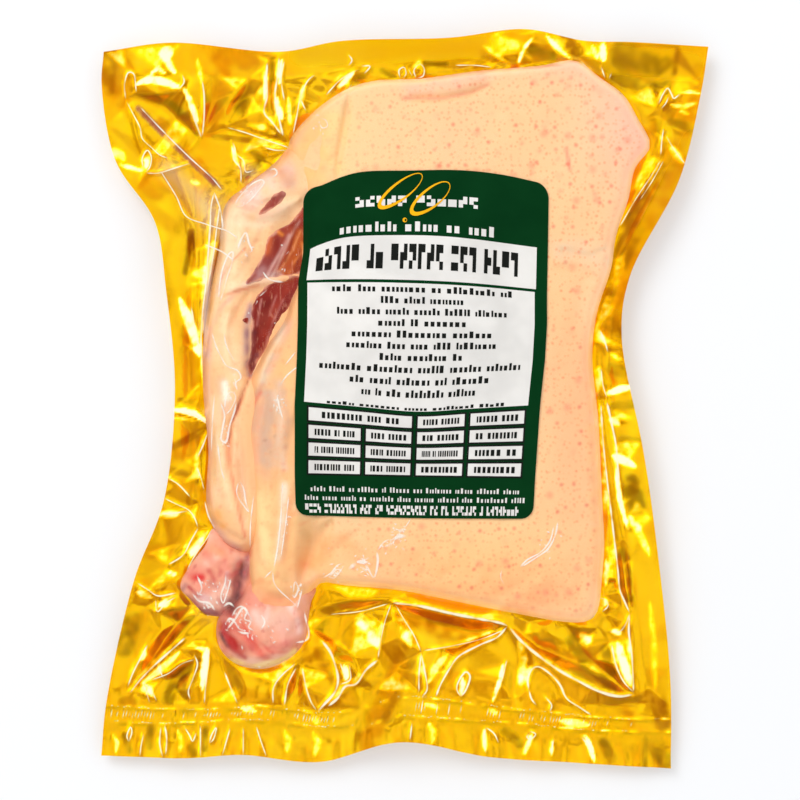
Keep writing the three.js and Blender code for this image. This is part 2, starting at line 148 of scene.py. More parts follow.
# Creases of the foil, as a height and the pixels it runs through: ridges are positive, valleys negative
CREASES = [
    # top left corner, round the pinch at the top of the back leg
    (2.4, (200, 137), (192, 112), (186, 92), (190, 75)),
    (1.4, (200, 137), (203, 105), (202, 78)),
    (-1.6, (200, 137), (214, 100), (216, 75)),
    (1.6, (200, 137), (226, 105), (250, 78)),
    (-1.4, (250, 78), (238, 100), (226, 122)),
    (1.2, (226, 124), (262, 112)),
    (-1, (250, 78), (252, 95), (262, 112)),
    (1.8, (262, 112), (265, 95), (264, 80), (267, 62)),
    (2.2, (290, 138), (277, 118), (275, 95), (276, 80), (278, 58)),
    (-1.8, (271, 58), (270, 80), (269, 106)),
    (1, (283, 60), (283, 85), (289, 110)),
    (1.8, (300, 98), (297, 115), (293, 133)),
    (1.4, (300, 98), (309, 112)),
    (1.6, (318, 74), (306, 88), (300, 98)),
    (-1.4, (226, 128), (255, 134), (286, 142)),
    (2, (264, 113), (275, 128), (286, 138)),
    (-2.2, (136, 96), (160, 104), (175, 117), (190, 129), (200, 137)),
    (2, (136, 93), (158, 94), (180, 90), (184, 80)),
    (1.6, (136, 93), (134, 78), (128, 71), (124, 85), (125, 98)),
    (1.6, (135, 72), (158, 70), (182, 74)),
    (1.8, (125, 98), (140, 128), (144, 142), (157, 168)),
    (1.6, (140, 160), (146, 172), (152, 160), (147, 152)),
    (2.2, (157, 170), (175, 167), (190, 163)),
    (1.2, (155, 147), (165, 155), (178, 160)),
    (1, (232, 140), (235, 152), (240, 170), (244, 185)),
    (1.2, (240, 155), (246, 165), (243, 180), (254, 172)),
    (-1.2, (262, 148), (262, 160), (250, 175)),
    # left side
    (2, (218, 240), (211, 262), (206, 300), (202, 340), (202, 380)),
    (-1.6, (197, 225), (192, 250), (188, 275)),
    (1, (186, 285), (190, 320), (199, 350)),
    (2.4, (177, 411), (195, 416), (207, 424)),
    (-2, (172, 447), (190, 436), (206, 429)),
    (1.4, (207, 432), (200, 450), (195, 465)),
    (-1.4, (168, 455), (185, 462), (195, 466)),
    (1.4, (195, 467), (201, 478), (203, 492)),
    (1.6, (167, 478), (180, 485), (190, 497), (200, 503)),
    (-1.2, (165, 494), (180, 503), (190, 508)),
    (2, (162, 513), (180, 511), (190, 510)),
    (1.4, (190, 510), (195, 522), (198, 530)),
    (1.8, (213, 528), (203, 545), (189, 570)),
    (-1.2, (150, 543), (168, 546), (185, 545)),
    (1.6, (167, 566), (180, 559), (187, 554)),
    (1.4, (167, 568), (172, 582), (181, 578)),
    (2.4, (134, 582), (145, 592), (157, 597)),
    (-1.6, (133, 602), (145, 606), (157, 600)),
    # bottom left corner, with the long fold to the back knuckle
    (2, (157, 597), (178, 592)),
    (2, (157, 612), (175, 608), (188, 606)),
    (-2.6, (191, 606), (165, 640), (142, 678), (128, 692)),
    (2.8, (128, 692), (160, 657), (185, 630), (198, 616)),
    (1.8, (127, 690), (138, 662), (149, 643)),
    (-1.2, (128, 690), (150, 655), (160, 632)),
    (1.4, (140, 684), (165, 657), (190, 641), (206, 629)),
    (1.8, (150, 681), (168, 673), (180, 664), (194, 660)),
    (-2.2, (194, 663), (177, 678), (168, 703)),
    (1.4, (163, 680), (161, 668), (168, 652)),
    (2, (210, 641), (198, 650), (194, 660)),
    (2, (209, 643), (205, 680), (201, 704)),
    (1.6, (196, 673), (190, 688), (188, 704)),
    (-1.4, (222, 662), (230, 688), (238, 704)),
    (1.2, (236, 668), (245, 688), (250, 704)),
    (1.4, (143, 685), (150, 696), (158, 704)),
    (2.2, (295, 664), (278, 682), (273, 695), (274, 706)),
    (1.8, (295, 665), (287, 684), (284, 706)),
    (2, (302, 666), (306, 690), (315, 712)),
    (-1.6, (297, 668), (296, 706)),
    # bottom, between the two long tucks
    (2.6, (391, 602), (440, 612), (475, 618), (507, 625)),
    (-2, (391, 604), (430, 621), (470, 631), (507, 626)),
    (2.2, (507, 628), (480, 643), (457, 657), (445, 672), (438, 688)),
    (-1.2, (422, 651), (460, 648), (505, 630)),
    (2, (391, 604), (398, 638), (421, 651)),
    (-1.4, (391, 604), (412, 628), (421, 648)),
    (1.8, (391, 604), (384, 625), (381, 645), (377, 658)),
    (2.6, (377, 657), (362, 678), (352, 686), (341, 686)),
    (2.2, (310, 628), (325, 642), (333, 660), (338, 675), (340, 686)),
    (-1.6, (310, 628), (335, 642), (352, 657)),
    (1.6, (340, 686), (332, 700), (322, 711)),
    (1.8, (343, 686), (345, 668), (349, 662), (352, 680)),
    (-1.8, (391, 602), (360, 612), (330, 617), (310, 619)),
    (1, (391, 600), (350, 600), (316, 608)),
    (-1.8, (422, 653), (395, 668), (375, 690), (362, 710)),
    (2, (422, 652), (421, 675), (420, 692)),
    (1.4, (423, 652), (427, 675), (428, 690)),
    (1.6, (460, 699), (455, 688), (466, 671), (471, 680), (465, 698)),
    # bottom right corner
    (3, (509, 626), (530, 648), (560, 672), (595, 688), (620, 696), (635, 697)),
    (-2.6, (565, 625), (590, 660), (635, 696)),
    (1.4, (565, 624), (600, 628)),
    (-1.8, (510, 626), (535, 645), (580, 665), (632, 695)),
    (2.6, (612, 548), (617, 580), (620, 592), (630, 612)),
    (1.2, (606, 550), (605, 580), (604, 595)),
    (-1.8, (622, 548), (626, 580), (631, 606)),
    (2, (630, 614), (627, 625), (620, 632)),
    (-1.4, (600, 600), (614, 582)),
    (1.4, (602, 597), (608, 605), (604, 614)),
    (1.4, (610, 600), (622, 608), (630, 613)),
    (2.6, (612, 641), (617, 665), (625, 685), (634, 695)),
    (1.8, (626, 640), (629, 665), (634, 692)),
    (1.6, (632, 560), (633, 610), (634, 650), (635, 692)),
    (-2.2, (585, 650), (603, 670), (630, 692)),
    (1.6, (636, 697), (650, 690), (667, 674)),
    (-1.2, (636, 698), (655, 705), (669, 708)),
    (-1.2, (634, 699), (620, 706), (600, 707)),
    (1.6, (537, 705), (529, 690), (535, 668), (552, 680), (567, 698), (580, 706), (592, 715)),
    (1.6, (507, 664), (500, 680), (492, 700)),
    (-1.2, (518, 655), (513, 700)),
    (-1.6, (512, 614), (530, 622), (534, 632)),
    (1.4, (540, 641), (545, 627), (553, 637)),
    # right side
    (2.2, (660, 158), (645, 185), (630, 210), (619, 228)),
    (-2.6, (660, 170), (648, 192), (630, 225), (612, 262), (598, 312)),
    (1.6, (668, 168), (652, 195), (637, 225), (627, 248)),
    (1.6, (660, 158), (664, 140), (669, 134)),
    (1.6, (656, 132), (660, 157)),
    (1.2, (662, 158), (676, 161), (689, 166)),
    (-2, (692, 138), (672, 126), (658, 116)),
    (1.4, (652, 156), (640, 172), (630, 192)),
    (2, (657, 108), (662, 94), (668, 88), (664, 104)),
    (2, (670, 91), (675, 98), (682, 93)),
    (-1.8, (677, 48), (676, 62), (674, 77)),
    (-1.2, (674, 78), (650, 84), (625, 88)),
    (2, (608, 80), (603, 62), (600, 44)),
    (-1.6, (609, 80), (613, 62), (615, 45)),
    (1.4, (578, 60), (583, 55), (582, 45)),
    (-2, (578, 60), (573, 46), (571, 38)),
    (2.2, (578, 60), (560, 56), (548, 43), (540, 34)),
    (-1.4, (578, 61), (550, 62), (519, 66)),
    (2.4, (517, 67), (520, 52), (526, 42), (533, 34)),
    (1.4, (517, 67), (500, 57), (480, 47)),
    (-1.2, (516, 68), (498, 62), (480, 58)),
    (2, (597, 330), (604, 345), (607, 358)),
    (2, (600, 366), (604, 385), (607, 400)),
    (-1.6, (622, 371), (612, 385), (607, 400)),
    (2, (607, 402), (613, 420), (614, 450), (617, 480), (619, 510), (625, 540)),
    (1.4, (601, 400), (603, 450), (608, 500), (611, 546)),
    # bulges and dips across the right hand seal
    (0.9, (608, 352), (630, 350)),
    (1.2, (612, 393), (634, 391)),
    (-1, (614, 408), (636, 406)),
    (0.9, (616, 425), (638, 421)),
    (-1.1, (617, 441), (641, 441)),
    (1.3, (616, 457), (644, 465)),
    (-1.2, (622, 497), (649, 497)),
    (1.2, (626, 530), (655, 535)),
    # small crumples in the narrow strip under the top seal
    (1.6, (347, 67), (338, 80), (326, 93)),
    (-1.2, (352, 82), (365, 84)),
    (1.6, (348, 80), (358, 70), (368, 72)),
    (1.4, (373, 68), (380, 80)),
    (1.4, (400, 70), (404, 80)),
    (1.2, (412, 66), (420, 70), (416, 79)),
    (-1.2, (385, 70), (395, 79)),
]


def plan(pixels):
    """Millimetres in plan, from pixels of the photograph"""
    pixels = np.array(pixels, float)
    return np.stack([(pixels[..., 0] - ORIGIN[0]) * PIXEL, (ORIGIN[1] - pixels[..., 1]) * PIXEL], -1)


def mix(a, b, share):
    return a + (b - a) * share


def rise(share):
    """Quarter circle from 0 to 1"""
    return np.sqrt(1 - (1 - np.clip(share, 0, 1)) ** 2)


def bell(distance, width):
    return np.exp(-((distance / width) ** 2))


def soft(low, high, value):
    """Smooth step from 0 to 1"""
    share = np.clip((value - low) / (high - low), 0, 1)
    return share * share * (3 - 2 * share)


def soft_max(a, b, width=2):
    share = np.clip(0.5 + (a - b) / (2 * width), 0, 1)
    return mix(b, a, share) + width * share * (1 - share)


def blur(field, radius, tall=None):
    """Gaussian blur of a plan field, with a radius of its own up the pouch if wanted"""
    up = np.fft.fftfreq(field.shape[0], STEP)[:, None] * (tall or radius)
    across = np.fft.rfftfreq(field.shape[1], STEP)[None] * radius
    response = np.exp(-2 * math.pi**2 * (up**2 + across**2))
    return np.fft.irfft2(np.fft.rfft2(field) * response, field.shape)


def unevenness(size, seed, tall=None):
    """Random field with bumps of about the given size and a deviation of 1"""
    loose = np.random.default_rng(seed).standard_normal(X.shape)
    field = blur(loose, 0.4 * size, 0.4 * (tall or size))
    return field / field.std()


def sample(field, x, y):
    """Values of a plan field at places between its grid points"""
    across = np.clip((x + HALF[0]) / STEP, 0, field.shape[1] - 1.001)
    up = np.clip((y + HALF[1]) / STEP, 0, field.shape[0] - 1.001)
    row, column = up.astype(int), across.astype(int)
    up, across = up - row, across - column
    if field.ndim == 3:
        up, across = up[..., None], across[..., None]
    lower = mix(field[row, column], field[row, column + 1], across)
    upper = mix(field[row + 1, column], field[row + 1, column + 1], across)
    return mix(lower, upper, up)


def curve(points, count, closed=False):
    """Evenly spaced points on a smooth curve through the given ones"""
    points = np.array(points, float)
    if closed:
        points = np.vstack([points[-1:], points, points[:2]])
    else:
        points = np.vstack([2 * points[0] - points[1], points, 2 * points[-1] - points[-2]])
    dense = []
    for a, b, c, d in zip(points, points[1:], points[2:], points[3:]):
        before, here, after = (math.sqrt(math.dist(p, q)) for p, q in ((a, b), (b, c), (c, d)))
        leave = ((b - a) / before - (c - a) / (before + here) + (c - b) / here) * here
        arrive = ((c - b) / here - (d - b) / (here + after) + (d - c) / after) * here
        t = np.linspace(0, 1, 24, endpoint=False)[:, None]
        hermite = (2 * t**3 - 3 * t**2 + 1, t**3 - 2 * t**2 + t, 3 * t**2 - 2 * t**3, t**3 - t**2)
        dense.append(hermite[0] * b + hermite[1] * leave + hermite[2] * c + hermite[3] * arrive)
    dense = np.vstack(dense + [points[-2][None]])
    length = np.concatenate([[0], np.cumsum(np.linalg.norm(np.diff(dense, axis=0), axis=1))])
    places = np.linspace(0, length[-1], count, endpoint=not closed)
    return np.stack([np.interp(places, length, dense[:, i]) for i in range(dense.shape[1])], -1)


def inside_by(outline):
    """Distance to a closed outline, positive inside it"""
    nearest = np.full(X.shape, np.inf)
    inside = np.zeros(X.shape, bool)
    for (ax, ay), (bx, by) in zip(outline, np.roll(outline, -1, 0)):
        dx, dy = bx - ax, by - ay
        along = np.clip(((X - ax) * dx + (Y - ay) * dy) / (dx * dx + dy * dy), 0, 1)
        nearest = np.minimum(nearest, (X - ax - along * dx) ** 2 + (Y - ay - along * dy) ** 2)
        if dy:
            inside ^= ((ay > Y) != (by > Y)) & (X < ax + (Y - ay) * dx / dy)
    return np.where(inside, 1, -1) * np.sqrt(nearest)


def nearest_on(stations, x=X, y=Y):
    """Distance to a line of stations, and each of their further values where the line is nearest"""
    best = np.full(x.shape, np.inf)
    values = [np.zeros(x.shape) for _ in stations[0][2:]]
    for a, b in zip(stations, stations[1:]):
        dx, dy = b[0] - a[0], b[1] - a[1]
        along = np.clip(((x - a[0]) * dx + (y - a[1]) * dy) / (dx * dx + dy * dy), 0, 1)
        distance = np.hypot(x - a[0] - along * dx, y - a[1] - along * dy)
        closer = distance < best
        best = np.where(closer, distance, best)
        values = [np.where(closer, mix(p, q, along), v) for p, q, v in zip(a[2:], b[2:], values)]
    return best, *values


def outline(pixels, count=150):
    return curve(plan(pixels), count, closed=True)


def cad_top(node):
    """Height of a CAD node's upper face, smoothed and carried on past its edge"""
    tree = BVHTree.FromObject(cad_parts[node], bpy.context.evaluated_depsgraph_get())
    height = np.full(X.shape, np.nan)
    for index in np.ndindex(X.shape):
        hit = tree.ray_cast(Vector((X[index] * MM, Y[index] * MM, 1)), Vector((0, 0, -1)))[0]
        if hit:
            height[index] = hit.z / MM
    known = np.isfinite(height)
    smooth = 6
    return blur(np.where(known, height, 0), smooth) / np.maximum(blur(known.astype(float), smooth), 1e-3)


# Creased sheets


class CreasePlan:
    """Nodes of a creased sheet with their heights, and the creases that join them"""

    merge = 0.8  # nodes about this near each other are one

    def __init__(self, pitch):
        self.pitch = pitch
        self.index = {}
        self.places = []
        self.heights = []
        self.edges = []

    def node(self, place, height):
        key = tuple(np.round(np.array(place) / self.merge).astype(int))
        if key not in self.index:
            self.index[key] = len(self.places)
            self.places.append(tuple(float(v) for v in place))
            self.heights.append(height)
        elif abs(height) > abs(self.heights[self.index[key]]):
            self.heights[self.index[key]] = height
        return self.index[key]

    def crease(self, points, height):
        """A ridge or valley that fades at both ends"""
        length = sum(math.dist(a, b) for a, b in zip(points, points[1:]))
        run = 0
        last = self.node(points[0], 0.25 * height)
        for a, b in zip(points, points[1:]):
            pieces = max(1, round(math.dist(a, b) / self.pitch))
            for piece in range(1, pieces + 1):
                place = mix(np.array(a), np.array(b), piece / pieces)
                run += math.dist(a, b) / pieces
                here = self.node(place, height * (0.25 + 0.75 * math.sin(math.pi * min(1, run / length))))
                if here != last:
                    self.edges.append((last, here))
                last = here

    def scatter(self, allowed, spacing, height, seed):
        """Loose nodes where the mask allows them, clear of the nodes that are there already"""
        rng = random.Random(seed)
        taken = np.array(self.places)
        for y in np.arange(-HALF[1], HALF[1], spacing):
            for x in np.arange(-HALF[0], HALF[0], spacing):
                place = (x + rng.uniform(-0.4, 0.4) * spacing, y + rng.uniform(-0.4, 0.4) * spacing)
                lift = rng.uniform(-height, height)
                clear = np.hypot(*(taken - place).T).min() > 0.7 * spacing
                if clear and sample(allowed, np.array(place[0]), np.array(place[1])) > 0.5:
                    self.node(place, lift)

    def relief(self):
        """Heights over the plan grid: a flat facet between each three nodes"""
        border = [(x, y) for x in (-HALF[0], 0, HALF[0]) for y in (-HALF[1], 0, HALF[1]) if x or y]
        for place in border:
            self.node(place, 0)
        corners = [Vector(place) for place in self.places]
        places, _, faces, origin, _, _ = delaunay_2d_cdt(corners, self.edges, [], 0, 1e-4)
        heights = [np.mean([self.heights[i] for i in whose]) if whose else None for whose in origin]
        relief = np.zeros(X.shape)
        for face in faces:
            known = [heights[i] for i in face if heights[i] is not None]
            z = [heights[i] if heights[i] is not None else np.mean(known or [0]) for i in face]
            (ax, ay), (bx, by), (cx, cy) = (places[i][:2] for i in face)
            doubled = (bx - ax) * (cy - ay) - (cx - ax) * (by - ay)
            if abs(doubled) < 1e-9:
                continue
            xs, ys = (ax, bx, cx), (ay, by, cy)
            columns = slice(*(int((v + HALF[0]) / STEP) + k for v, k in ((min(xs), 0), (max(xs), 2))))
            rows = slice(*(int((v + HALF[1]) / STEP) + k for v, k in ((min(ys), 0), (max(ys), 2))))
            x, y = X[rows, columns], Y[rows, columns]
            at_b = ((x - ax) * (cy - ay) - (cx - ax) * (y - ay)) / doubled
            at_c = ((bx - ax) * (y - ay) - (x - ax) * (by - ay)) / doubled
            inside = (at_b >= -1e-6) & (at_c >= -1e-6) & (at_b + at_c <= 1 + 1e-6)
            plane = z[0] + at_b * (z[1] - z[0]) + at_c * (z[2] - z[0])
            relief[rows, columns] = np.where(inside, plane, relief[rows, columns])
        return relief


# Heights over the plan


def pillow(depth, rounding, crest):
    """A flat-topped form with a rounded border"""
    return np.where(depth > 0, mix(WIDEST, crest, rise(depth / rounding)), NO_MEAT)


def roll(stations):
    """A half round form along a line of stations"""
    distance, size, crest = nearest_on(stations)
    arch = np.sqrt(np.clip(1 - (distance / size) ** 2, 0, 1))
    return np.where(distance < size, mix(WIDEST, crest, arch), NO_MEAT)


def mound(x, y, height, radius, stretch):
    return height * bell(np.hypot(X - x, (Y - y) / stretch), radius)


def stroke(pixels, width, taper):
    """Soft mask along a line of pixels, its width in pixels times the taper at each share of its length"""
    points = plan(pixels)
    lengths = np.concatenate([[0], np.cumsum(np.linalg.norm(np.diff(points, axis=0), axis=1))])
    stations = [(*p, s) for p, s in zip(points, lengths / lengths[-1])]
    low, high = ((limit + HALF) / STEP for limit in (points.min(0), points.max(0)))
    reach = 3 * width * PIXEL / STEP
    near = tuple(slice(max(0, int(a - reach)), int(b + reach) + 2) for a, b in zip(low[::-1], high[::-1]))
    distance, share = nearest_on(stations, X[near], Y[near])
    mask = np.zeros(X.shape)
    mask[near] = bell(distance, width * PIXEL * taper(share))
    return mask


def even(share):
    return 1


def pointed(share):
    """Full width in the middle of a stroke, to almost nothing at its ends"""
    return np.sqrt(np.clip(4 * share * (1 - share), 0.03, 1))


def groove(pixels, width, depth):
    """A groove, or with a negative depth a welt, that narrows at both ends"""
    return -depth * stroke(pixels, width, pointed)


def hem(top, depth, rounding):
    """Brings a form down to the foil at its own outline"""
    return mix(HEM, np.maximum(top, HEM), rise(0.25 + 0.75 * depth / rounding))


pouch_outline = np.vstack([curve(plan(EDGE[side]), 60)[:-1] for side in ("left", "bottom", "right", "top")])
pouch_depth = inside_by(pouch_outline)
front_depth = inside_by(outline(FRONT_LEG, 220))
back_depth = inside_by(outline(BACK_LEG))
front_knuckle_depth = inside_by(outline(FRONT_KNUCKLE, 80))
back_knuckle_depth = inside_by(outline(BACK_KNUCKLE, 80))
muscle_depth = np.maximum.reduce([inside_by(outline(patch, 60)) for patch in MUSCLES])
meat_depth = np.maximum.reduce([front_depth, back_depth, front_knuckle_depth, back_knuckle_depth])


# Grooves and welts of the skin: depth in millimetres, width in pixels, then the pixels
FRONT_GROOVES = [
    (1.3, 3.5, (350, 88), (347, 118), (341, 150), (336, 180)),
    (-0.8, 10, (346, 95), (335, 125), (328, 160)),
    (0.5, 4, (318, 110), (322, 132), (316, 158)),
    (1.3, 2.6, (402, 100), (440, 101), (470, 95), (490, 86)),
    (-0.7, 5, (408, 93), (450, 90), (486, 78)),
    (0.6, 4, (560, 250), (586, 258), (606, 250)),
    (0.7, 4, (552, 268), (580, 270), (600, 282)),
    (0.7, 4, (302, 396), (292, 440), (286, 480)),
    (-0.9, 6, (268, 396), (259, 440), (258, 500), (264, 560)),
    (0.9, 3, (284, 380), (276, 420), (276, 466), (272, 500)),
    (-0.7, 4, (276, 346), (266, 368), (258, 392)),
    (0.6, 3, (290, 330), (278, 352), (266, 376)),
    (-0.6, 5, (284, 490), (280, 530), (274, 575)),
    (0.5, 3, (296, 480), (292, 520), (288, 560)),
    (1.5, 9, (332, 520), (318, 545), (300, 578)),
    (0.6, 5, (360, 530), (340, 545), (326, 556)),
    (0.5, 3, (258, 560), (270, 575), (292, 582)),
]
BACK_GROOVES = [
    (1.5, 2.4, (250, 378), (242, 400), (233, 422), (230, 443), (230, 470)),
    (-0.6, 5, (228, 204), (224, 250), (214, 310), (208, 360)),
    (0.8, 3, (238, 214), (234, 250), (226, 290), (218, 330)),
    (-1.4, 5, (232, 290), (252, 284), (270, 281), (294, 277)),
    (-1.1, 6, (240, 212), (262, 218), (284, 210), (300, 200)),
    (1, 4, (244, 202), (262, 208), (276, 200)),
    (-0.8, 5, (248, 262), (240, 250), (240, 232)),
    (0.8, 4, (246, 240), (254, 246), (262, 242)),
    (1.2, 3, (250, 292), (244, 304), (236, 318)),
    (-0.9, 4, (232, 306), (226, 330), (228, 352), (234, 372)),
    (0.7, 3, (220, 340), (221, 366), (226, 390)),
    (-0.7, 4, (224, 400), (220, 430), (222, 470), (228, 510)),
    (0.7, 3, (214, 420), (213, 460), (216, 500)),
    (0.8, 3, (238, 400), (241, 440), (244, 480), (246, 520)),
    (-0.6, 4, (236, 440), (236, 480), (240, 520)),
    (0.8, 4, (214, 520), (228, 532), (244, 540)),
]


def add_grooves(top, grooves):
    for depth, width, *pixels in grooves:
        top = top + GROOVE_LIFT * groove(pixels, width, depth)
    return top


def front_leg_top():
    crest = sum((mound(*form) for form in THIGH_MOUNDS), THIGH_HEIGHT)
    top = soft_max(pillow(front_depth, 5, crest), roll(FRONT_SHAFT))
    top += 0.35 * unevenness(16, seed=11) + 0.12 * unevenness(5, seed=12)
    top += 0.2 * unevenness(4, seed=13, tall=9) * soft(-20, -36, X)
    top = add_grooves(top, FRONT_GROOVES)
    top = hem(top, front_depth + 5 * soft(1, 5, front_knuckle_depth), rounding=2.5)
    over_bone = soft(1, 7, front_knuckle_depth) * soft(9, 3, front_depth)
    return mix(top, front_knuckle_top - 0.25 + 0.5 * rise(front_depth / 4), over_bone)


def back_leg_top():
    top = soft_max(pillow(back_depth, rounding=10, crest=25.5), roll(BACK_SHAFT))
    distance, width, depth = nearest_on(FURROW)
    top -= depth * bell(distance, width)
    top += 0.4 * unevenness(12, seed=21) + 0.2 * unevenness(4, seed=22, tall=8)
    top = add_grooves(top, BACK_GROOVES)
    return hem(top, back_depth, rounding=4)


def knuckle_top(depth, middle, crest, radius, seed):
    x, y = plan(middle)
    ball = np.sqrt(np.clip(1 - (np.hypot(X - x, Y - y) / radius) ** 2, 0.02, 1))
    top = WIDEST + (crest - WIDEST) * ball
    top += 0.6 * unevenness(7, seed=seed) + 0.25 * unevenness(2.5, seed=seed + 1)
    return hem(top, depth, rounding=6)


front_knuckle_top = knuckle_top(front_knuckle_depth, FRONT_KNUCKLE_MIDDLE, crest=27.5, radius=24, seed=31)
back_knuckle_top = knuckle_top(back_knuckle_depth, BACK_KNUCKLE_MIDDLE, crest=22, radius=21, seed=41)
front_top = front_leg_top()
back_top = back_leg_top()
muscle_top = back_top - 0.4 + 1.1 * rise(muscle_depth / 3) + 0.12 * unevenness(2, seed=51)

forms = (
    (front_depth, front_top),
    (back_depth, back_top),
    (front_knuckle_depth, front_knuckle_top),
    (back_knuckle_depth, back_knuckle_top),
)
meat_top = np.maximum.reduce([np.where(depth > 0, top, NO_MEAT) for depth, top in forms])


def foil_relief():
    """The creased foil: flat facets between listed creases and a few loose nodes"""
    creases = CreasePlan(pitch=7)
    for height, *pixels in CREASES:
        creases.crease([tuple(p) for p in plan(pixels)], CREASE_LIFT * height)
    loose = (pouch_depth > SEAL + 2) & (meat_depth < -3) & (Y > SCATTER_FROM)
    creases.scatter(loose.astype(float), spacing=18, height=0.9, seed=3)
    for x, y in pouch_outline[::6]:
        creases.node((x, y), 0)
    for x, y in outline(FRONT_LEG, 60):
        creases.node((x, y), 0)
    return blur(creases.relief(), 0.4)


def above_bottom_edge():
    """Distance up the pouch from its bottom edge"""
    bottom = curve(plan(EDGE["bottom"]), 200)
    return Y - np.interp(X[0], bottom[:, 0], bottom[:, 1])[None]


foil_creases = foil_relief()
bare_foil = soft(2, -1.5, meat_depth)
above_bottom = above_bottom_edge()


def foil_surface():
    """The foil: a collar up to the hem of the meat, the creases, the waves of the skirt and the gathers"""
    under_meat = np.maximum(0, meat_depth - 1.6)
    collar = HEM - 1 - np.where(meat_depth > 0, 2.5 * under_meat, 7 * (1 - bell(meat_depth, 14)))
    top = soft_max(cad_top("gold_foil_back"), collar, 2)
    in_seal = soft(SEAL + 1, SEAL - 3, pouch_depth) * soft(SKIRT[1] - 4, SKIRT[1] + 4, above_bottom)
    top += foil_creases * bare_foil * mix(1, 0.3, in_seal)
    top += (0.02 * unevenness(5, seed=61) + mix(0.15, 0.35, in_seal) * unevenness(24, seed=62)) * bare_foil
    skirt = soft(SKIRT[0] + 3, SKIRT[0] - 3, above_bottom)
    top += skirt * (0.22 * unevenness(3.5, seed=71, tall=14) + 0.5 * unevenness(12, seed=72, tall=24))
    gathers = bell(above_bottom - SKIRT[1] - 5, 6)
    return top + gathers * 0.16 * unevenness(3.5, seed=73, tall=10)


def film_relief():
    """Small sharp wrinkles between random nodes over the legs"""
    creases = CreasePlan(pitch=5)
    creases.node((0, 0.5), 0)  # for the others to keep clear of
    creases.scatter((meat_depth > -4).astype(float), spacing=6, height=1, seed=7)
    return blur(creases.relief(), 0.6)


def film_surface():
    """The clear film, drawn over whatever lies highest, with wrinkles that are least over the thigh"""
    top = np.maximum(meat_top, foil_top) + FILM_GAP
    top = np.maximum(top, blur(top, 2.2) - 0.1)
    wrinkled = bell(nearest_on(SHANK_LINE)[0], 26)
    return top + film_relief() * mix(0.02, 0.28, wrinkled) * soft(-3, 1, meat_depth)


foil_top = foil_surface()
film_top = film_surface()


# Meshes


def make_mesh(name, places, faces, colours=None, rounded=None, **masks):
    """A piece from places in millimetres, with its colours and masks kept at its vertices

    Its faces are shaded as one rounded surface, or only the given number of them from the first.
    """
    mesh = bpy.data.meshes.new(name)
    mesh.from_pydata((np.asarray(places) * MM).tolist(), [], faces)
    mesh.polygons.foreach_set("use_smooth", [i < (rounded or len(faces)) for i in range(len(faces))])
    if colours is not None:
        tint = mesh.color_attributes.new("tint", "FLOAT_COLOR", "POINT")
        opaque = np.concatenate([colours, np.ones((len(colours), 1))], 1)
        tint.data.foreach_set("color", opaque.astype(np.float32).ravel())
    for mask, values in masks.items():
        layer = mesh.attributes.new(mask, "FLOAT", "POINT")
        layer.data.foreach_set("value", np.asarray(values, np.float32).ravel())
    piece = bpy.data.objects.new(name, mesh)
    bpy.context.scene.collection.objects.link(piece)
    return piece


def quads(index):
    """The cells of a grid, from the numbers of its points"""
    cells = np.stack([index[:-1, :-1], index[:-1, 1:], index[1:, 1:], index[1:, :-1]], -1)
    return cells.reshape(-1, 4).tolist()


def grid_faces(rows, columns):
    return quads(np.arange(rows * columns).reshape(rows, columns))


def pouch_grid():
    """Places of the sheets in plan: a patch spread between the pouch's four edges"""
    across = np.linspace(0, 1, SHEET_CELLS[0] + 1)
    up = np.linspace(0, 1, SHEET_CELLS[1] + 1)
    bottom = curve(plan(EDGE["bottom"]), len(across))
    top = curve(plan(EDGE["top"]), len(across))[::-1]
    left = curve(plan(EDGE["left"]), len(up))[::-1]
    right = curve(plan(EDGE["right"]), len(up))
    u, v = across[None, :, None], up[:, None, None]
    between = mix(bottom[None], top[None], v) + mix(left[:, None], right[:, None], u)
    corners = mix(mix(bottom[0], bottom[-1], u), mix(top[0], top[-1], u), v)
    places = between - corners
    return places[..., 0], places[..., 1]


def make_sheet(name, height, colours=None, **masks):
    x, y = pouch_grid()
    places = np.stack([x, y, sample(height, x, y)], -1).reshape(-1, 3)
    if colours is not None:
        colours = sample(colours, x, y).reshape(-1, 3)
    masks = {mask: sample(field, x, y).ravel() for mask, field in masks.items()}
    return make_mesh(name, places, grid_faces(*x.shape), colours, **masks)


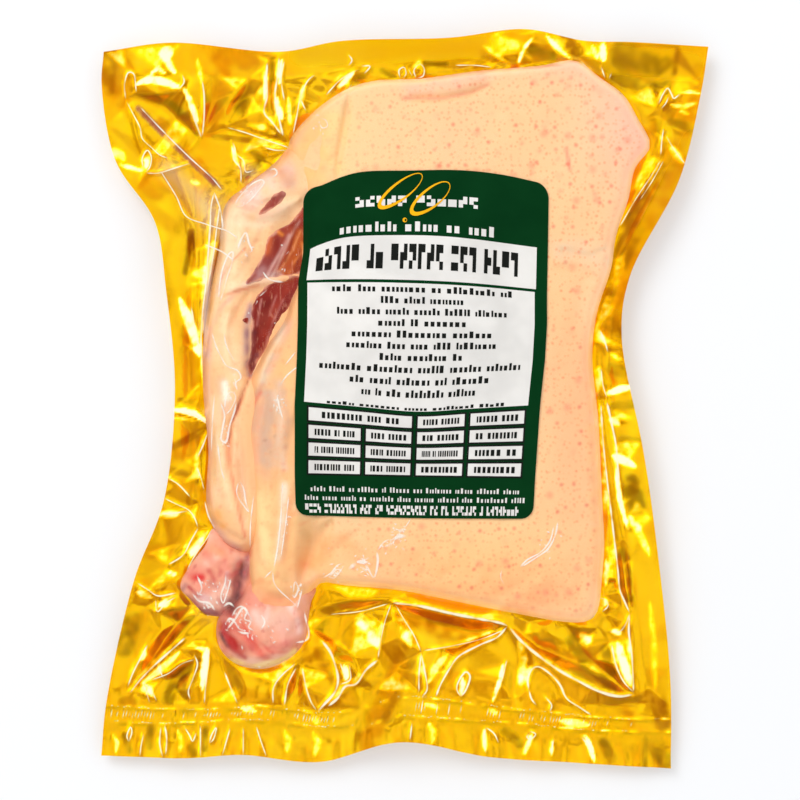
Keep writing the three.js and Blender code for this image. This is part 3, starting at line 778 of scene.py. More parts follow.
def make_body(name, top, depth, cell, colours, **masks):
    """A closed body between a field of heights and the foil, cut along its outline"""
    columns = np.arange(X[depth > 0].min() - 2 * cell, X[depth > 0].max() + 2 * cell, cell)
    rows = np.arange(Y[depth > 0].min() - 2 * cell, Y[depth > 0].max() + 2 * cell, cell)
    x, y = np.meshgrid(columns, rows)
    inside = sample(depth, x, y)
    slope_y, slope_x = np.gradient(depth, STEP)
    push = np.where(np.abs(inside) < 0.5 * cell, inside, 0)
    x, y = x - push * sample(slope_x, x, y), y - push * sample(slope_y, x, y)
    kept = inside > -0.5 * cell
    index = np.full(x.shape, -1)
    index[kept] = np.arange(kept.sum())
    faces = [[i for i in quad if i >= 0] for quad in quads(index)]
    faces = [face for face in faces if len(face) > 2]
    x, y = x[kept], y[kept]
    upper = np.stack([x, y, sample(top, x, y)], -1)
    lower = np.stack([x, y, sample(foil_top, x, y) + FILM_GAP], -1)
    count = len(upper)
    sides = dict.fromkeys(side for face in faces for side in zip(face, face[1:] + face[:1]))
    walls = [[b, a, a + count, b + count] for a, b in sides if (b, a) not in sides]
    under = [[i + count for i in reversed(face)] for face in faces]
    tints = sample(colours, x, y)
    masks = {mask: np.tile(sample(field, x, y), 2) for mask, field in masks.items()}
    faces, rounded = faces + walls + under, len(faces)
    return make_mesh(name, np.vstack([upper, lower]), faces, np.vstack([tints, tints]), rounded, **masks)


# Painted highlights along wrinkles of the film: width in pixels, then the pixels that each runs through
FILM_WRINKLE_HIGHLIGHTS = [
    (1.6, (284, 481), (282, 520), (279, 546), (275, 568)),
    (1.3, (290, 495), (286, 530), (282, 556)),
    (1.4, (255, 494), (252, 520), (251, 548)),
    (1.6, (216, 394), (213, 430), (212, 452)),
    (1.6, (300, 366), (288, 376), (281, 386)),
    (1.4, (297, 352), (286, 366)),
    (2, (236, 207), (239, 200), (247, 190), (254, 184), (263, 181), (265, 184), (259, 193),
     (252, 201), (244, 207), (237, 208)),
    (1.7, (269, 172), (275, 170), (278, 175), (272, 180)),
    (2.2, (239, 252), (242, 242), (247, 234), (250, 244), (253, 252), (250, 254)),
    (1.7, (220, 299), (221, 284), (224, 269), (231, 254), (234, 253), (233, 264), (228, 279),
     (224, 294), (221, 302)),
    (1.7, (213, 333), (218, 348), (223, 358), (228, 366), (239, 371), (242, 378), (237, 383), (239, 391)),
    (1.7, (226, 333), (227, 343), (231, 353), (237, 363)),
    (1.7, (226, 410), (228, 396), (233, 392), (237, 396), (233, 408), (227, 415)),
    (1.7, (278, 395), (281, 408), (285, 421)),
    (2, (222, 402), (226, 415), (224, 428), (223, 440), (227, 442), (231, 425), (236, 410), (238, 400)),
    (1.7, (219, 443), (221, 458), (224, 473), (227, 481)),
    (1.7, (240, 481), (238, 491), (241, 499), (246, 506), (250, 511), (247, 501), (245, 488), (241, 480)),
    (2.4, (233, 615), (238, 607), (243, 605), (248, 610), (246, 617), (252, 620), (250, 625), (256, 629)),
    (2.6, (227, 622), (231, 617), (236, 620), (241, 627), (248, 629)),
    (2.4, (238, 629), (245, 631), (253, 631)),
    (1.7, (274, 569), (276, 582), (299, 606)),
    (1.7, (298, 607), (303, 587)),
    (2.2, (294, 592), (296, 580), (299, 587), (295, 596), (293, 592)),
    (1.7, (265, 577), (274, 568)),
    (1.7, (323, 577), (331, 572), (338, 564), (343, 562)),
    (2.2, (327, 574), (334, 577), (339, 572), (344, 565)),
    (2.6, (329, 576), (338, 568), (344, 572)),
    (5, (349, 568), (357, 561)),
    (4, (356, 560), (369, 561)),
    (4, (360, 565), (368, 570)),
    (2.4, (366, 562), (374, 576), (378, 560), (377, 550)),
    (2.6, (378, 549), (384, 541), (390, 538)),
    (4.5, (392, 540), (399, 535), (407, 535)),
    (5, (398, 531), (405, 527)),
    (3.4, (384, 546), (390, 543)),
    (1.4, (404, 528), (411, 517)),
    (1.7, (227, 572), (226, 582), (222, 595), (224, 602), (228, 592), (232, 577)),
    (2.4, (198, 574), (203, 587), (199, 595)),
    (2.4, (193, 592), (200, 600), (210, 602), (216, 610)),
    (2.2, (305, 610), (308, 638), (296, 641)),
    (1.7, (205, 501), (209, 516), (216, 529)),
    (2, (557, 521), (554, 535), (547, 548), (536, 556), (520, 566)),
    (1.7, (553, 525), (549, 540), (540, 551), (526, 559), (519, 566)),
    (1.7, (501, 568), (500, 576), (504, 584)),
    (1.7, (321, 120), (326, 122), (328, 128), (323, 130), (320, 125)),
    (1.2, (160, 170), (176, 196), (186, 216), (206, 224), (228, 232), (240, 240)),
    (1.4, (140, 107), (160, 128), (188, 156), (212, 178), (222, 190)),
    (1.7, (214, 192), (221, 212), (224, 232)),
    (1.7, (204, 244), (222, 252), (236, 262)),
    (2.6, (228, 628), (236, 618), (245, 606), (250, 612), (254, 620)),
    (2.4, (224, 606), (230, 602), (236, 606)),
    (2.2, (205, 600), (210, 606), (216, 604)),
    (2.2, (262, 612), (266, 620), (262, 628)),
    (1.8, (262, 270), (270, 280), (285, 283)),
    (2, (256, 306), (262, 296), (268, 290)),
]


# Middles of the patches of wet glints: pixel, reach in pixels, direction of the strokes, and how many
GLINT_PLACES = [
    ((280, 402), 3.5, 80, 14),
    ((244, 616), 7, 60, 26),
    ((204, 592), 7, 50, 18),
    ((226, 588), 3, 80, 10),
    ((231, 384), 4, 70, 12),
    ((228, 436), 4, 75, 12),
    ((252, 194), 5, 120, 10),
    ((246, 248), 4, 70, 8),
    ((266, 318), 6, 110, 12),
    ((284, 250), 6, 120, 8),
    ((288, 520), 4, 80, 8),
    ((298, 588), 3, 70, 8),
    ((332, 570), 6, 20, 10),
    ((548, 545), 5, 120, 8),
    ((322, 124), 5, 60, 6),
    ((268, 640), 8, 30, 8),
    ((362, 562), 3.4, 25, 26),
    ((399, 536), 3.6, 150, 32),
    ((386, 542), 2.4, 40, 6),
    ((336, 571), 3, 30, 8),
]


# The cross-section of a strip of painted highlight along a fold: shares of its half width and of its height
FOLD_PROFILE = ((-1, 0), (-0.5, 0.8), (0, 1), (0.5, 0.8), (1, 0))


def make_ribbons(name, lines, under):
    """Narrow strips of painted highlight along folds, over a field of heights, that fade at their sides and
    ends

    Each line is a width in pixels, then the pixels that it runs through.
    """
    places, faces, fades = [], [], []
    for number, (width, *pixels) in enumerate(lines):
        points = plan(pixels)
        length = sum(math.dist(a, b) for a, b in zip(points, points[1:]))
        line = curve(points, max(6, round(length / RIBBON_CELL)))
        along = np.gradient(line, axis=0)
        along /= np.linalg.norm(along, axis=1)[:, None]
        knots = np.random.default_rng(number).uniform(0.35, 1.25, len(line) // 5 + 2)
        ragged = np.interp(np.arange(len(line)) / 5, np.arange(len(knots)), knots)
        from_end = np.minimum(np.arange(len(line)), np.arange(len(line))[::-1])
        taper = np.clip(from_end / 3, 0, 1) * ragged
        half = 0.6 * width * PIXEL * (0.4 + 0.6 * taper)
        start = sum(len(block) for block in places)
        for offset, height in FOLD_PROFILE:
            x = line[:, 0] - along[:, 1] * offset * half
            y = line[:, 1] + along[:, 0] * offset * half
            places.append(np.stack([x, y, sample(under, x, y) + FOLD_LIFT * (0.5 + height)], -1))
            fades.append(np.clip(height * taper * 1.3, 0, 1))
        strip = np.array(grid_faces(len(FOLD_PROFILE), len(line)))
        faces += (strip[:, ::-1] + start).tolist()
    return make_mesh(name, np.vstack(places), faces, fade=np.concatenate(fades))


def wet_glints():
    """Short strokes of painted highlight on the wet film, scattered in the places where it clings to the
    flesh
    """
    rng = random.Random(12)
    strokes = []
    for (x, y), reach, turn, count in GLINT_PLACES:
        for _ in range(count):
            start = (x + rng.gauss(0, reach), y + rng.gauss(0, 1.6 * reach))
            length, way = rng.uniform(2, 6), math.radians(turn + rng.gauss(0, 35))
            stop = (start[0] + length * math.cos(way), start[1] + length * math.sin(way))
            strokes.append((rng.uniform(1.4, 2.6), start, stop))
    return strokes


def seal_dashes():
    """Short dashes of painted highlight on the edges of the machine's seal, and on the slanted ribs between
    them
    """
    rng = random.Random(5)
    upper, lower = (curve(line, SEAL_STATIONS) for line in SEAL_BAND)
    dashes = []
    for (x, top), (_, bottom) in zip(upper, lower):
        plain = max(float(bell(x - middle, reach)) for middle, reach in SEAL_PLAINEST)
        for edge in (top, bottom):
            if rng.random() < 0.15 + 0.7 * plain:
                y = edge + rng.uniform(-0.8, 0.8)
                dashes.append((rng.uniform(0.8, 1.5), (x, y), (x + rng.uniform(1.2, 3), y)))
        if rng.random() < 0.75 * plain:
            start, stop = top + rng.uniform(2, 5), bottom - rng.uniform(2, 5)
            dashes.append((rng.uniform(0.8, 1.3), (x + 1.5, start), (x - 0.5, stop)))
    return dashes


# Colours over the plan


def linear(red, green, blue):
    """Linear light from a colour as it is seen on a screen, 0 to 255"""
    shares = np.array([red, green, blue]) / 255
    return np.where(shares <= 0.04045, shares / 12.92, ((shares + 0.055) / 1.055) ** 2.4)


def ground(colour):
    return np.broadcast_to(linear(*colour), (*X.shape, 3)).copy()


def mottled(colour, field, light, dark):
    """A ground with a lighter colour on the bumps of a field and a darker one in its dips

    The two are each a colour, its strength, and the height or depth at which it starts.
    """
    colours = ground(colour)
    for side, (tone, strength, start) in ((field, light), (-field, dark)):
        colours = paint(colours, strength * soft(start, 2, side), tone)
    return colours


def spot(pixel, width, height=None, turn=0):
    """Soft round or oval mask about a pixel, its sizes in pixels too"""
    x, y = plan(pixel)
    across, up = X - x, Y - y
    cos, sin = math.cos(math.radians(turn)), math.sin(math.radians(turn))
    along, aside = across * cos + up * sin, up * cos - across * sin
    return bell(np.hypot(along / width, aside / (height or width)), PIXEL)


def streak(pixels, width):
    return stroke(pixels, width, even)


def paint(colours, mask, colour):
    return mix(colours, linear(*colour), np.clip(mask, 0, 1)[..., None])


def paint_ovals(colours, ovals):
    for colour, strength, *oval in ovals:
        colours = paint(colours, strength * spot(*oval), colour)
    return colours


def paint_marks(colours, marks, seed, crisp=False):
    """Streaks and spots with ragged edges, from a table of marks"""
    ragged = np.clip(0.85 + 0.25 * unevenness(3, seed), 0.3, 1.3)
    for colour, strength, width, *pixels in marks:
        mask = streak(pixels, width) if len(pixels) > 1 else spot(pixels[0], width)
        mask = soft(0.15, 0.75, mask) if crisp else mask
        colours = paint(colours, 1.25 * strength * mask * ragged, colour)
    return colours


# Where the film stands off and turns milky, and painted sheen inside the loops of its wrinkles: strength,
# then a spot's pixel, width, height and turn
HAZE_AND_SHEEN_SPOTS = [
    (0.12, (212, 210), 16, 22, 30),
    (0.3, (280, 400), 3, 9),
    (0.2, (266, 616), 9, 6),
    (0.12, (216, 600), 16),
]
# The same along lines: strength, width in pixels, then the pixels
HAZE_AND_SHEEN_STREAKS = [
    (0.14, 9, (168, 168), (196, 196), (222, 232)),
    (0.3, 3, (243, 203), (252, 194), (262, 184)),
    (0.25, 2, (219, 296), (225, 276), (232, 256)),
    (0.25, 3, (228, 412), (231, 400)),
    (0.2, 2.4, (243, 486), (246, 500)),
    (0.4, 3, (212, 250), (208, 290), (204, 330)),
    (0.2, 3, (246, 285), (262, 280), (280, 274)),
    (0.12, 6, (244, 168), (256, 176), (250, 186)),
]


def film_haze():
    haze = sum(strength * spot(*oval) for strength, *oval in HAZE_AND_SHEEN_SPOTS)
    haze += sum(strength * streak(pixels, width) for strength, width, *pixels in HAZE_AND_SHEEN_STREAKS)
    return np.clip(haze, 0, 0.6)


RED_DOT = (236, 104, 84)  # where a feather was plucked
RED_DOTS = [
    (547, 76), (561, 82), (570, 79), (593, 90), (556, 96), (567, 110), (585, 104), (607, 109), (589, 123),
    (601, 138), (624, 129), (554, 138), (521, 145), (539, 152), (557, 160), (590, 157), (616, 151),
    (531, 174), (545, 182), (604, 175), (594, 195), (601, 228), (550, 207), (565, 219), (559, 192),
    (569, 171), (404, 118), (497, 154),
]
SHANK_PORES = 0.3  # as strong as on the thigh
WARMTH = (0.97, 0.85, 0.76)  # of the skin over the shanks
PLAIN_SKIN = (248, 208, 158)

# Broad tones of the thigh: colour, strength, then an oval's pixel, width, height and turn
PINK_TONES = [
    ((252, 186, 164), 0.85, (645, 125), 85, 62, -60),
    ((252, 192, 168), 0.6, (520, 60), 140, 24),
]
ORANGE_TONES = [
    ((246, 168, 120), 0.5, (575, 400), 36, 160),
    ((254, 190, 122), 0.6, (470, 570), 130, 50),
]
CREAMY_BAND = [(440, 150), (480, 110), (540, 100), (560, 140)]

# Marks of the skin and flesh: colour, strength, width in pixels, then the pixels each runs through
FRONT_MARKS = [
    # painted shade along the front leg's edge, where it lies over the back leg
    ((240, 164, 126), 0.85, 2, (264, 383), (256, 398), (251, 414), (249, 435), (251, 468)),
    ((240, 160, 122), 0.85, 2, (251, 468), (254, 495), (252, 533), (251, 555)),
    ((206, 184, 164), 0.6, 7, (256, 408), (258, 430)),
    ((208, 180, 158), 0.6, 6, (272, 400), (270, 424), (264, 448)),
    ((244, 214, 184), 0.7, 4, (282, 384), (284, 410), (280, 440), (286, 466)),
    ((255, 228, 170), 0.7, 6, (262, 500), (266, 530), (268, 556)),
    ((250, 232, 206), 0.6, 4, (286, 484), (284, 520), (280, 556)),
    ((248, 182, 126), 0.5, 3, (292, 500), (288, 530), (284, 560)),
    ((236, 210, 168), 0.5, 8, (300, 506), (318, 512)),
    ((254, 186, 126), 0.7, 10, (302, 562), (312, 572)),
    ((250, 160, 96), 0.45, 9, (326, 546), (344, 538), (352, 552)),
    # the shaft beside the label: grey and translucent above, creamy below
    ((224, 190, 160), 0.8, 13, (268, 392), (266, 430), (270, 462)),
    ((208, 170, 146), 0.5, 4, (286, 392), (289, 420), (285, 446)),
    ((242, 212, 180), 0.6, 3, (276, 392), (281, 424), (277, 466)),
    ((196, 150, 126), 0.6, 1.6, (266, 440)),
    ((196, 150, 126), 0.6, 1.4, (276, 436)),
    ((196, 150, 126), 0.6, 1.4, (272, 452)),
    ((236, 150, 110), 0.6, 1.2, (284, 470)),
    ((255, 222, 166), 0.5, 12, (264, 500), (264, 524), (268, 565)),
    # painted shade: a crisp darker line along the same edge
    ((232, 148, 116), 0.85, 1.6, (262, 392), (254, 407), (251, 424), (247, 443), (249, 470)),
    ((230, 146, 110), 0.8, 1.5, (250, 470), (253, 500), (250, 530), (250, 552)),
    ((248, 190, 150), 0.5, 5, (262, 400), (258, 430), (255, 470)),
    ((238, 222, 194), 0.6, 5, (284, 326), (274, 356), (264, 380)),
    ((244, 190, 158), 0.5, 3.5, (292, 322), (282, 348), (270, 372)),
    # under the label, towards the knee
    ((238, 204, 150), 0.6, 10, (306, 520), (330, 524), (352, 522)),
    ((226, 186, 130), 0.4, 6, (298, 522), (312, 540)),
    ((253, 186, 124), 0.6, 20, (322, 560)),
    ((255, 206, 156), 0.8, 9, (296, 580), (312, 574)),
    ((250, 180, 134), 0.7, 7, (262, 592), (276, 600), (296, 600)),
    ((255, 178, 120), 0.4, 26, (380, 566)),
    ((255, 168, 100), 0.35, 40, (440, 590), (520, 604)),
    # thigh
    ((252, 206, 140), 0.8, 26, (330, 130), (322, 165)),
    ((248, 192, 156), 0.4, 4, (352, 90), (326, 106), (306, 126), (293, 146)),
    ((247, 186, 158), 0.6, 7, (408, 92), (450, 86), (486, 76)),
    # painted shade in the groove along the thigh's top
    ((240, 158, 128), 0.7, 1.6, (404, 100), (440, 101), (470, 94), (488, 86)),
    ((226, 200, 168), 0.45, 13, (560, 250), (580, 252), (600, 258)),
    # the top edge, where the film draws the fat over
    ((250, 176, 148), 0.55, 4, (440, 76), (480, 72), (540, 68), (576, 64)),
    ((214, 110, 70), 0.5, 1.2, (446, 75), (482, 71), (520, 68), (560, 66), (574, 62)),
    ((255, 206, 156), 0.6, 10, (588, 290), (590, 330)),
    ((254, 194, 140), 0.5, 40, (520, 100)),
    ((255, 194, 146), 0.4, 50, (440, 140)),
    ((252, 186, 122), 0.5, 7, (596, 320), (590, 400), (594, 480), (597, 580)),
    ((226, 106, 92), 0.5, 1.5, (565, 149), (567, 158), (569, 170)),
    ((222, 104, 92), 0.5, 1.4, (542, 127), (547, 134)),
    ((250, 160, 110), 0.35, 26, (560, 588), (520, 600)),
    ((120, 70, 40), 0.9, 0.9, (538, 601)),
]

BACK_MARKS = [
    ((255, 232, 196), 0.7, 4, (228, 222), (246, 226), (264, 224), (286, 208)),
    ((240, 186, 142), 0.6, 2.4, (262, 230), (252, 250), (244, 268), (232, 284)),
    ((255, 228, 188), 0.7, 4, (244, 232), (238, 250), (232, 270)),
    ((255, 232, 192), 0.7, 3.4, (228, 316), (224, 336), (228, 356), (236, 376)),
    ((242, 168, 126), 0.75, 2.2, (232, 432), (236, 452), (242, 472), (246, 494)),
    ((255, 230, 186), 0.7, 4, (224, 396), (220, 430), (224, 470), (232, 506)),
    ((255, 228, 180), 0.6, 4, (240, 404), (237, 430), (240, 462), (246, 492), (246, 526)),
    ((240, 172, 138), 0.7, 2.2, (210, 450), (208, 480), (212, 506)),
    ((206, 152, 100), 0.8, 2.6, (226, 206), (222, 225), (217, 262), (212, 290), (208, 320), (205, 345)),
    ((250, 218, 196), 0.8, 18, (262, 180), (250, 196)),
    ((236, 200, 180), 0.6, 7, (288, 168), (290, 184)),
    ((250, 170, 130), 0.7, 5, (296, 146), (270, 164), (246, 184), (232, 198)),
    ((255, 224, 184), 0.8, 8, (238, 214), (262, 224), (290, 208)),
    ((255, 226, 184), 0.7, 12, (232, 228), (236, 262), (228, 300)),
    # painted shade below the knob
    ((240, 196, 164), 0.5, 4, (244, 208), (262, 217), (280, 210)),
    ((250, 214, 176), 0.7, 5, (246, 287), (258, 284), (276, 280)),
    ((232, 176, 150), 0.5, 3, (240, 292), (224, 306), (216, 322)),
    ((252, 222, 176), 0.7, 12, (226, 320), (232, 350), (236, 372)),
    ((206, 168, 160), 0.85, 3.6, (252, 306), (248, 326), (248, 350), (250, 374)),
    ((160, 110, 110), 0.5, 2, (248, 330), (249, 356), (251, 376)),
    ((246, 196, 158), 0.5, 5, (222, 380), (224, 420), (228, 455)),
    ((240, 184, 150), 0.8, 5, (208, 330), (204, 372), (206, 420), (209, 460)),
    ((226, 190, 176), 0.6, 4, (206, 330), (206, 360)),
    ((250, 216, 170), 0.6, 7, (216, 400), (218, 440), (220, 500)),
    # painted shade beside the front leg's edge
    ((236, 176, 140), 0.3, 3, (243, 392), (238, 420), (243, 450), (246, 500), (246, 536)),
    ((255, 242, 216), 0.6, 4, (226, 384), (228, 398)),
    ((226, 168, 130), 0.55, 6, (276, 172), (290, 182)),
    ((255, 210, 164), 0.5, 4, (236, 400), (233, 430), (236, 470), (240, 520)),
    # painted shade: a crisp darker line where the back leg passes under the front leg
    ((214, 132, 96), 0.8, 1.3, (250, 378), (242, 400), (233, 422), (230, 443)),
    ((236, 150, 108), 0.7, 1.3, (230, 443), (232, 468), (238, 500), (246, 536)),
    ((240, 158, 116), 0.6, 1.2, (218, 292), (224, 276), (234, 262), (246, 250)),
    ((236, 150, 108), 0.6, 1.2, (226, 296), (244, 290), (260, 286)),
    ((248, 200, 150), 0.6, 8, (214, 510), (224, 534), (240, 546)),
    ((226, 178, 160), 0.6, 5, (212, 522), (224, 540), (240, 550)),
    ((252, 184, 90), 0.5, 4, (218, 512), (224, 524)),
]

MUSCLE_MARKS = [
    ((240, 140, 50), 0.8, 1.6, (279, 233), (283, 236)),
    ((150, 84, 84), 0.7, 5, (268, 262), (258, 276), (250, 284)),
    ((226, 184, 170), 0.6, 1.3, (300, 222), (290, 240), (280, 262), (272, 279)),
    ((150, 110, 116), 0.6, 3, (258, 356), (254, 368)),
    ((104, 34, 36), 0.85, 4.5, (255, 334), (253, 350), (251, 366)),
    ((112, 26, 24), 0.7, 5, (288, 296), (280, 316), (270, 336)),
    # the upper muscle: purplish with orange fat at its ends
    ((150, 56, 48), 0.6, 8, (276, 244), (268, 264)),
    ((200, 92, 50), 0.9, 4.5, (270, 240), (268, 252)),
    ((176, 78, 24), 0.95, 8, (300, 236), (296, 256), (286, 274)),
    ((232, 150, 90), 0.55, 1, (301, 232), (294, 250), (280, 272)),
    ((130, 40, 20), 0.6, 1.4, (298, 222), (292, 244), (286, 262)),
    ((130, 40, 20), 0.6, 1.4, (307, 236), (300, 256), (296, 272)),
    ((236, 140, 60), 0.6, 1.6, (303, 244), (306, 262)),
    ((222, 130, 70), 0.5, 1, (304, 252), (294, 264), (290, 274)),
    ((176, 70, 52), 0.7, 5, (300, 218), (304, 206)),
    ((222, 170, 160), 0.6, 1.6, (290, 236), (280, 254), (268, 276)),
    ((200, 150, 146), 0.5, 5, (264, 272), (256, 280)),
    ((150, 60, 44), 0.6, 3, (250, 282), (256, 276)),
    # the small strip above it
    ((206, 140, 124), 0.6, 5, (284, 194)),
    ((150, 70, 60), 0.8, 4.5, (266, 210), (274, 204), (280, 198)),
    # the lower muscle: deep red, with pale fibres and a silver skin on its left
    ((112, 22, 16), 0.7, 8, (268, 302), (262, 322)),
    ((156, 52, 36), 0.6, 4, (288, 290), (276, 310), (266, 336)),
    ((206, 130, 120), 0.5, 0.8, (277, 296), (270, 316)),
    ((206, 130, 120), 0.5, 0.8, (284, 300), (274, 322), (266, 344)),
    ((210, 140, 130), 0.5, 0.8, (262, 300), (258, 326)),
    ((120, 46, 40), 0.6, 4, (254, 340), (252, 362), (250, 376)),
    ((180, 120, 112), 0.45, 1.4, (253, 306), (251, 330), (249, 356), (248, 374)),
]

KNUCKLE_MARKS = [
    ((246, 190, 170), 0.6, 8, (286, 616), (292, 630)),
    ((252, 214, 200), 0.6, 3, (270, 606), (266, 618)),
    ((228, 110, 96), 0.6, 5, (276, 646), (290, 640)),
    ((150, 14, 22), 0.8, 3, (224, 632), (231, 644), (240, 652)),
    # painted shade in the gap between the knuckles
    ((176, 90, 84), 0.7, 4, (247, 566), (244, 586), (236, 606)),
    ((228, 176, 168), 0.7, 2, (228, 572), (226, 590), (229, 604)),
    ((250, 200, 176), 0.7, 4, (208, 562), (218, 556)),
    ((196, 60, 60), 0.7, 2, (190, 586), (198, 594), (204, 596)),
    # back knuckle: painted shade towards the hollow between the two
    ((150, 66, 56), 0.9, 6, (241, 564), (237, 590), (229, 614)),
    ((104, 34, 38), 0.8, 2.6, (243, 566), (240, 590), (232, 612)),
    ((110, 40, 20), 0.8, 2, (188, 603), (202, 612), (216, 619)),
    ((176, 110, 110), 0.6, 3, (248, 556), (246, 580)),
    ((150, 60, 66), 0.8, 4, (190, 598), (204, 609), (218, 614)),
    ((214, 40, 36), 0.9, 4, (193, 576), (203, 576)),
    ((200, 44, 44), 0.7, 3, (210, 570), (216, 580)),
    ((226, 90, 70), 0.5, 4, (206, 552), (212, 560)),
    ((236, 184, 180), 0.7, 7, (206, 598)),
    ((240, 140, 116), 0.5, 4, (200, 586), (212, 590)),
    ((190, 84, 84), 0.6, 3, (212, 582), (222, 592), (224, 606)),
    ((248, 158, 116), 0.6, 6, (212, 547), (222, 552)),
    ((170, 96, 96), 0.5, 3, (186, 584), (182, 590)),
    # front knuckle: bloody at its lower left, pale pink on top
    ((250, 190, 160), 0.6, 12, (276, 602), (296, 606)),
    ((160, 116, 128), 0.7, 3, (279, 594), (283, 601)),
    ((252, 214, 206), 0.6, 3, (290, 604), (298, 616), (300, 630)),
    ((246, 176, 158), 0.5, 10, (284, 630)),
    ((178, 18, 12), 1, 6.5, (224, 618), (230, 636), (242, 650)),
    ((214, 60, 44), 0.8, 2, (242, 618), (250, 634), (262, 648)),
    ((226, 96, 76), 0.7, 1.6, (256, 636), (272, 650), (288, 650)),
    ((224, 84, 66), 0.55, 6, (240, 628), (252, 640), (268, 656)),
    ((214, 40, 34), 0.7, 4, (232, 616), (238, 626)),
    ((190, 30, 26), 0.8, 2.5, (222, 626), (234, 646), (246, 656)),
    ((255, 214, 150), 1, 3.2, (232, 659), (254, 665), (282, 659), (296, 650)),
    ((90, 10, 10), 0.7, 2, (221, 632), (228, 644)),
    ((250, 206, 190), 0.5, 6, (256, 612), (264, 622)),
]
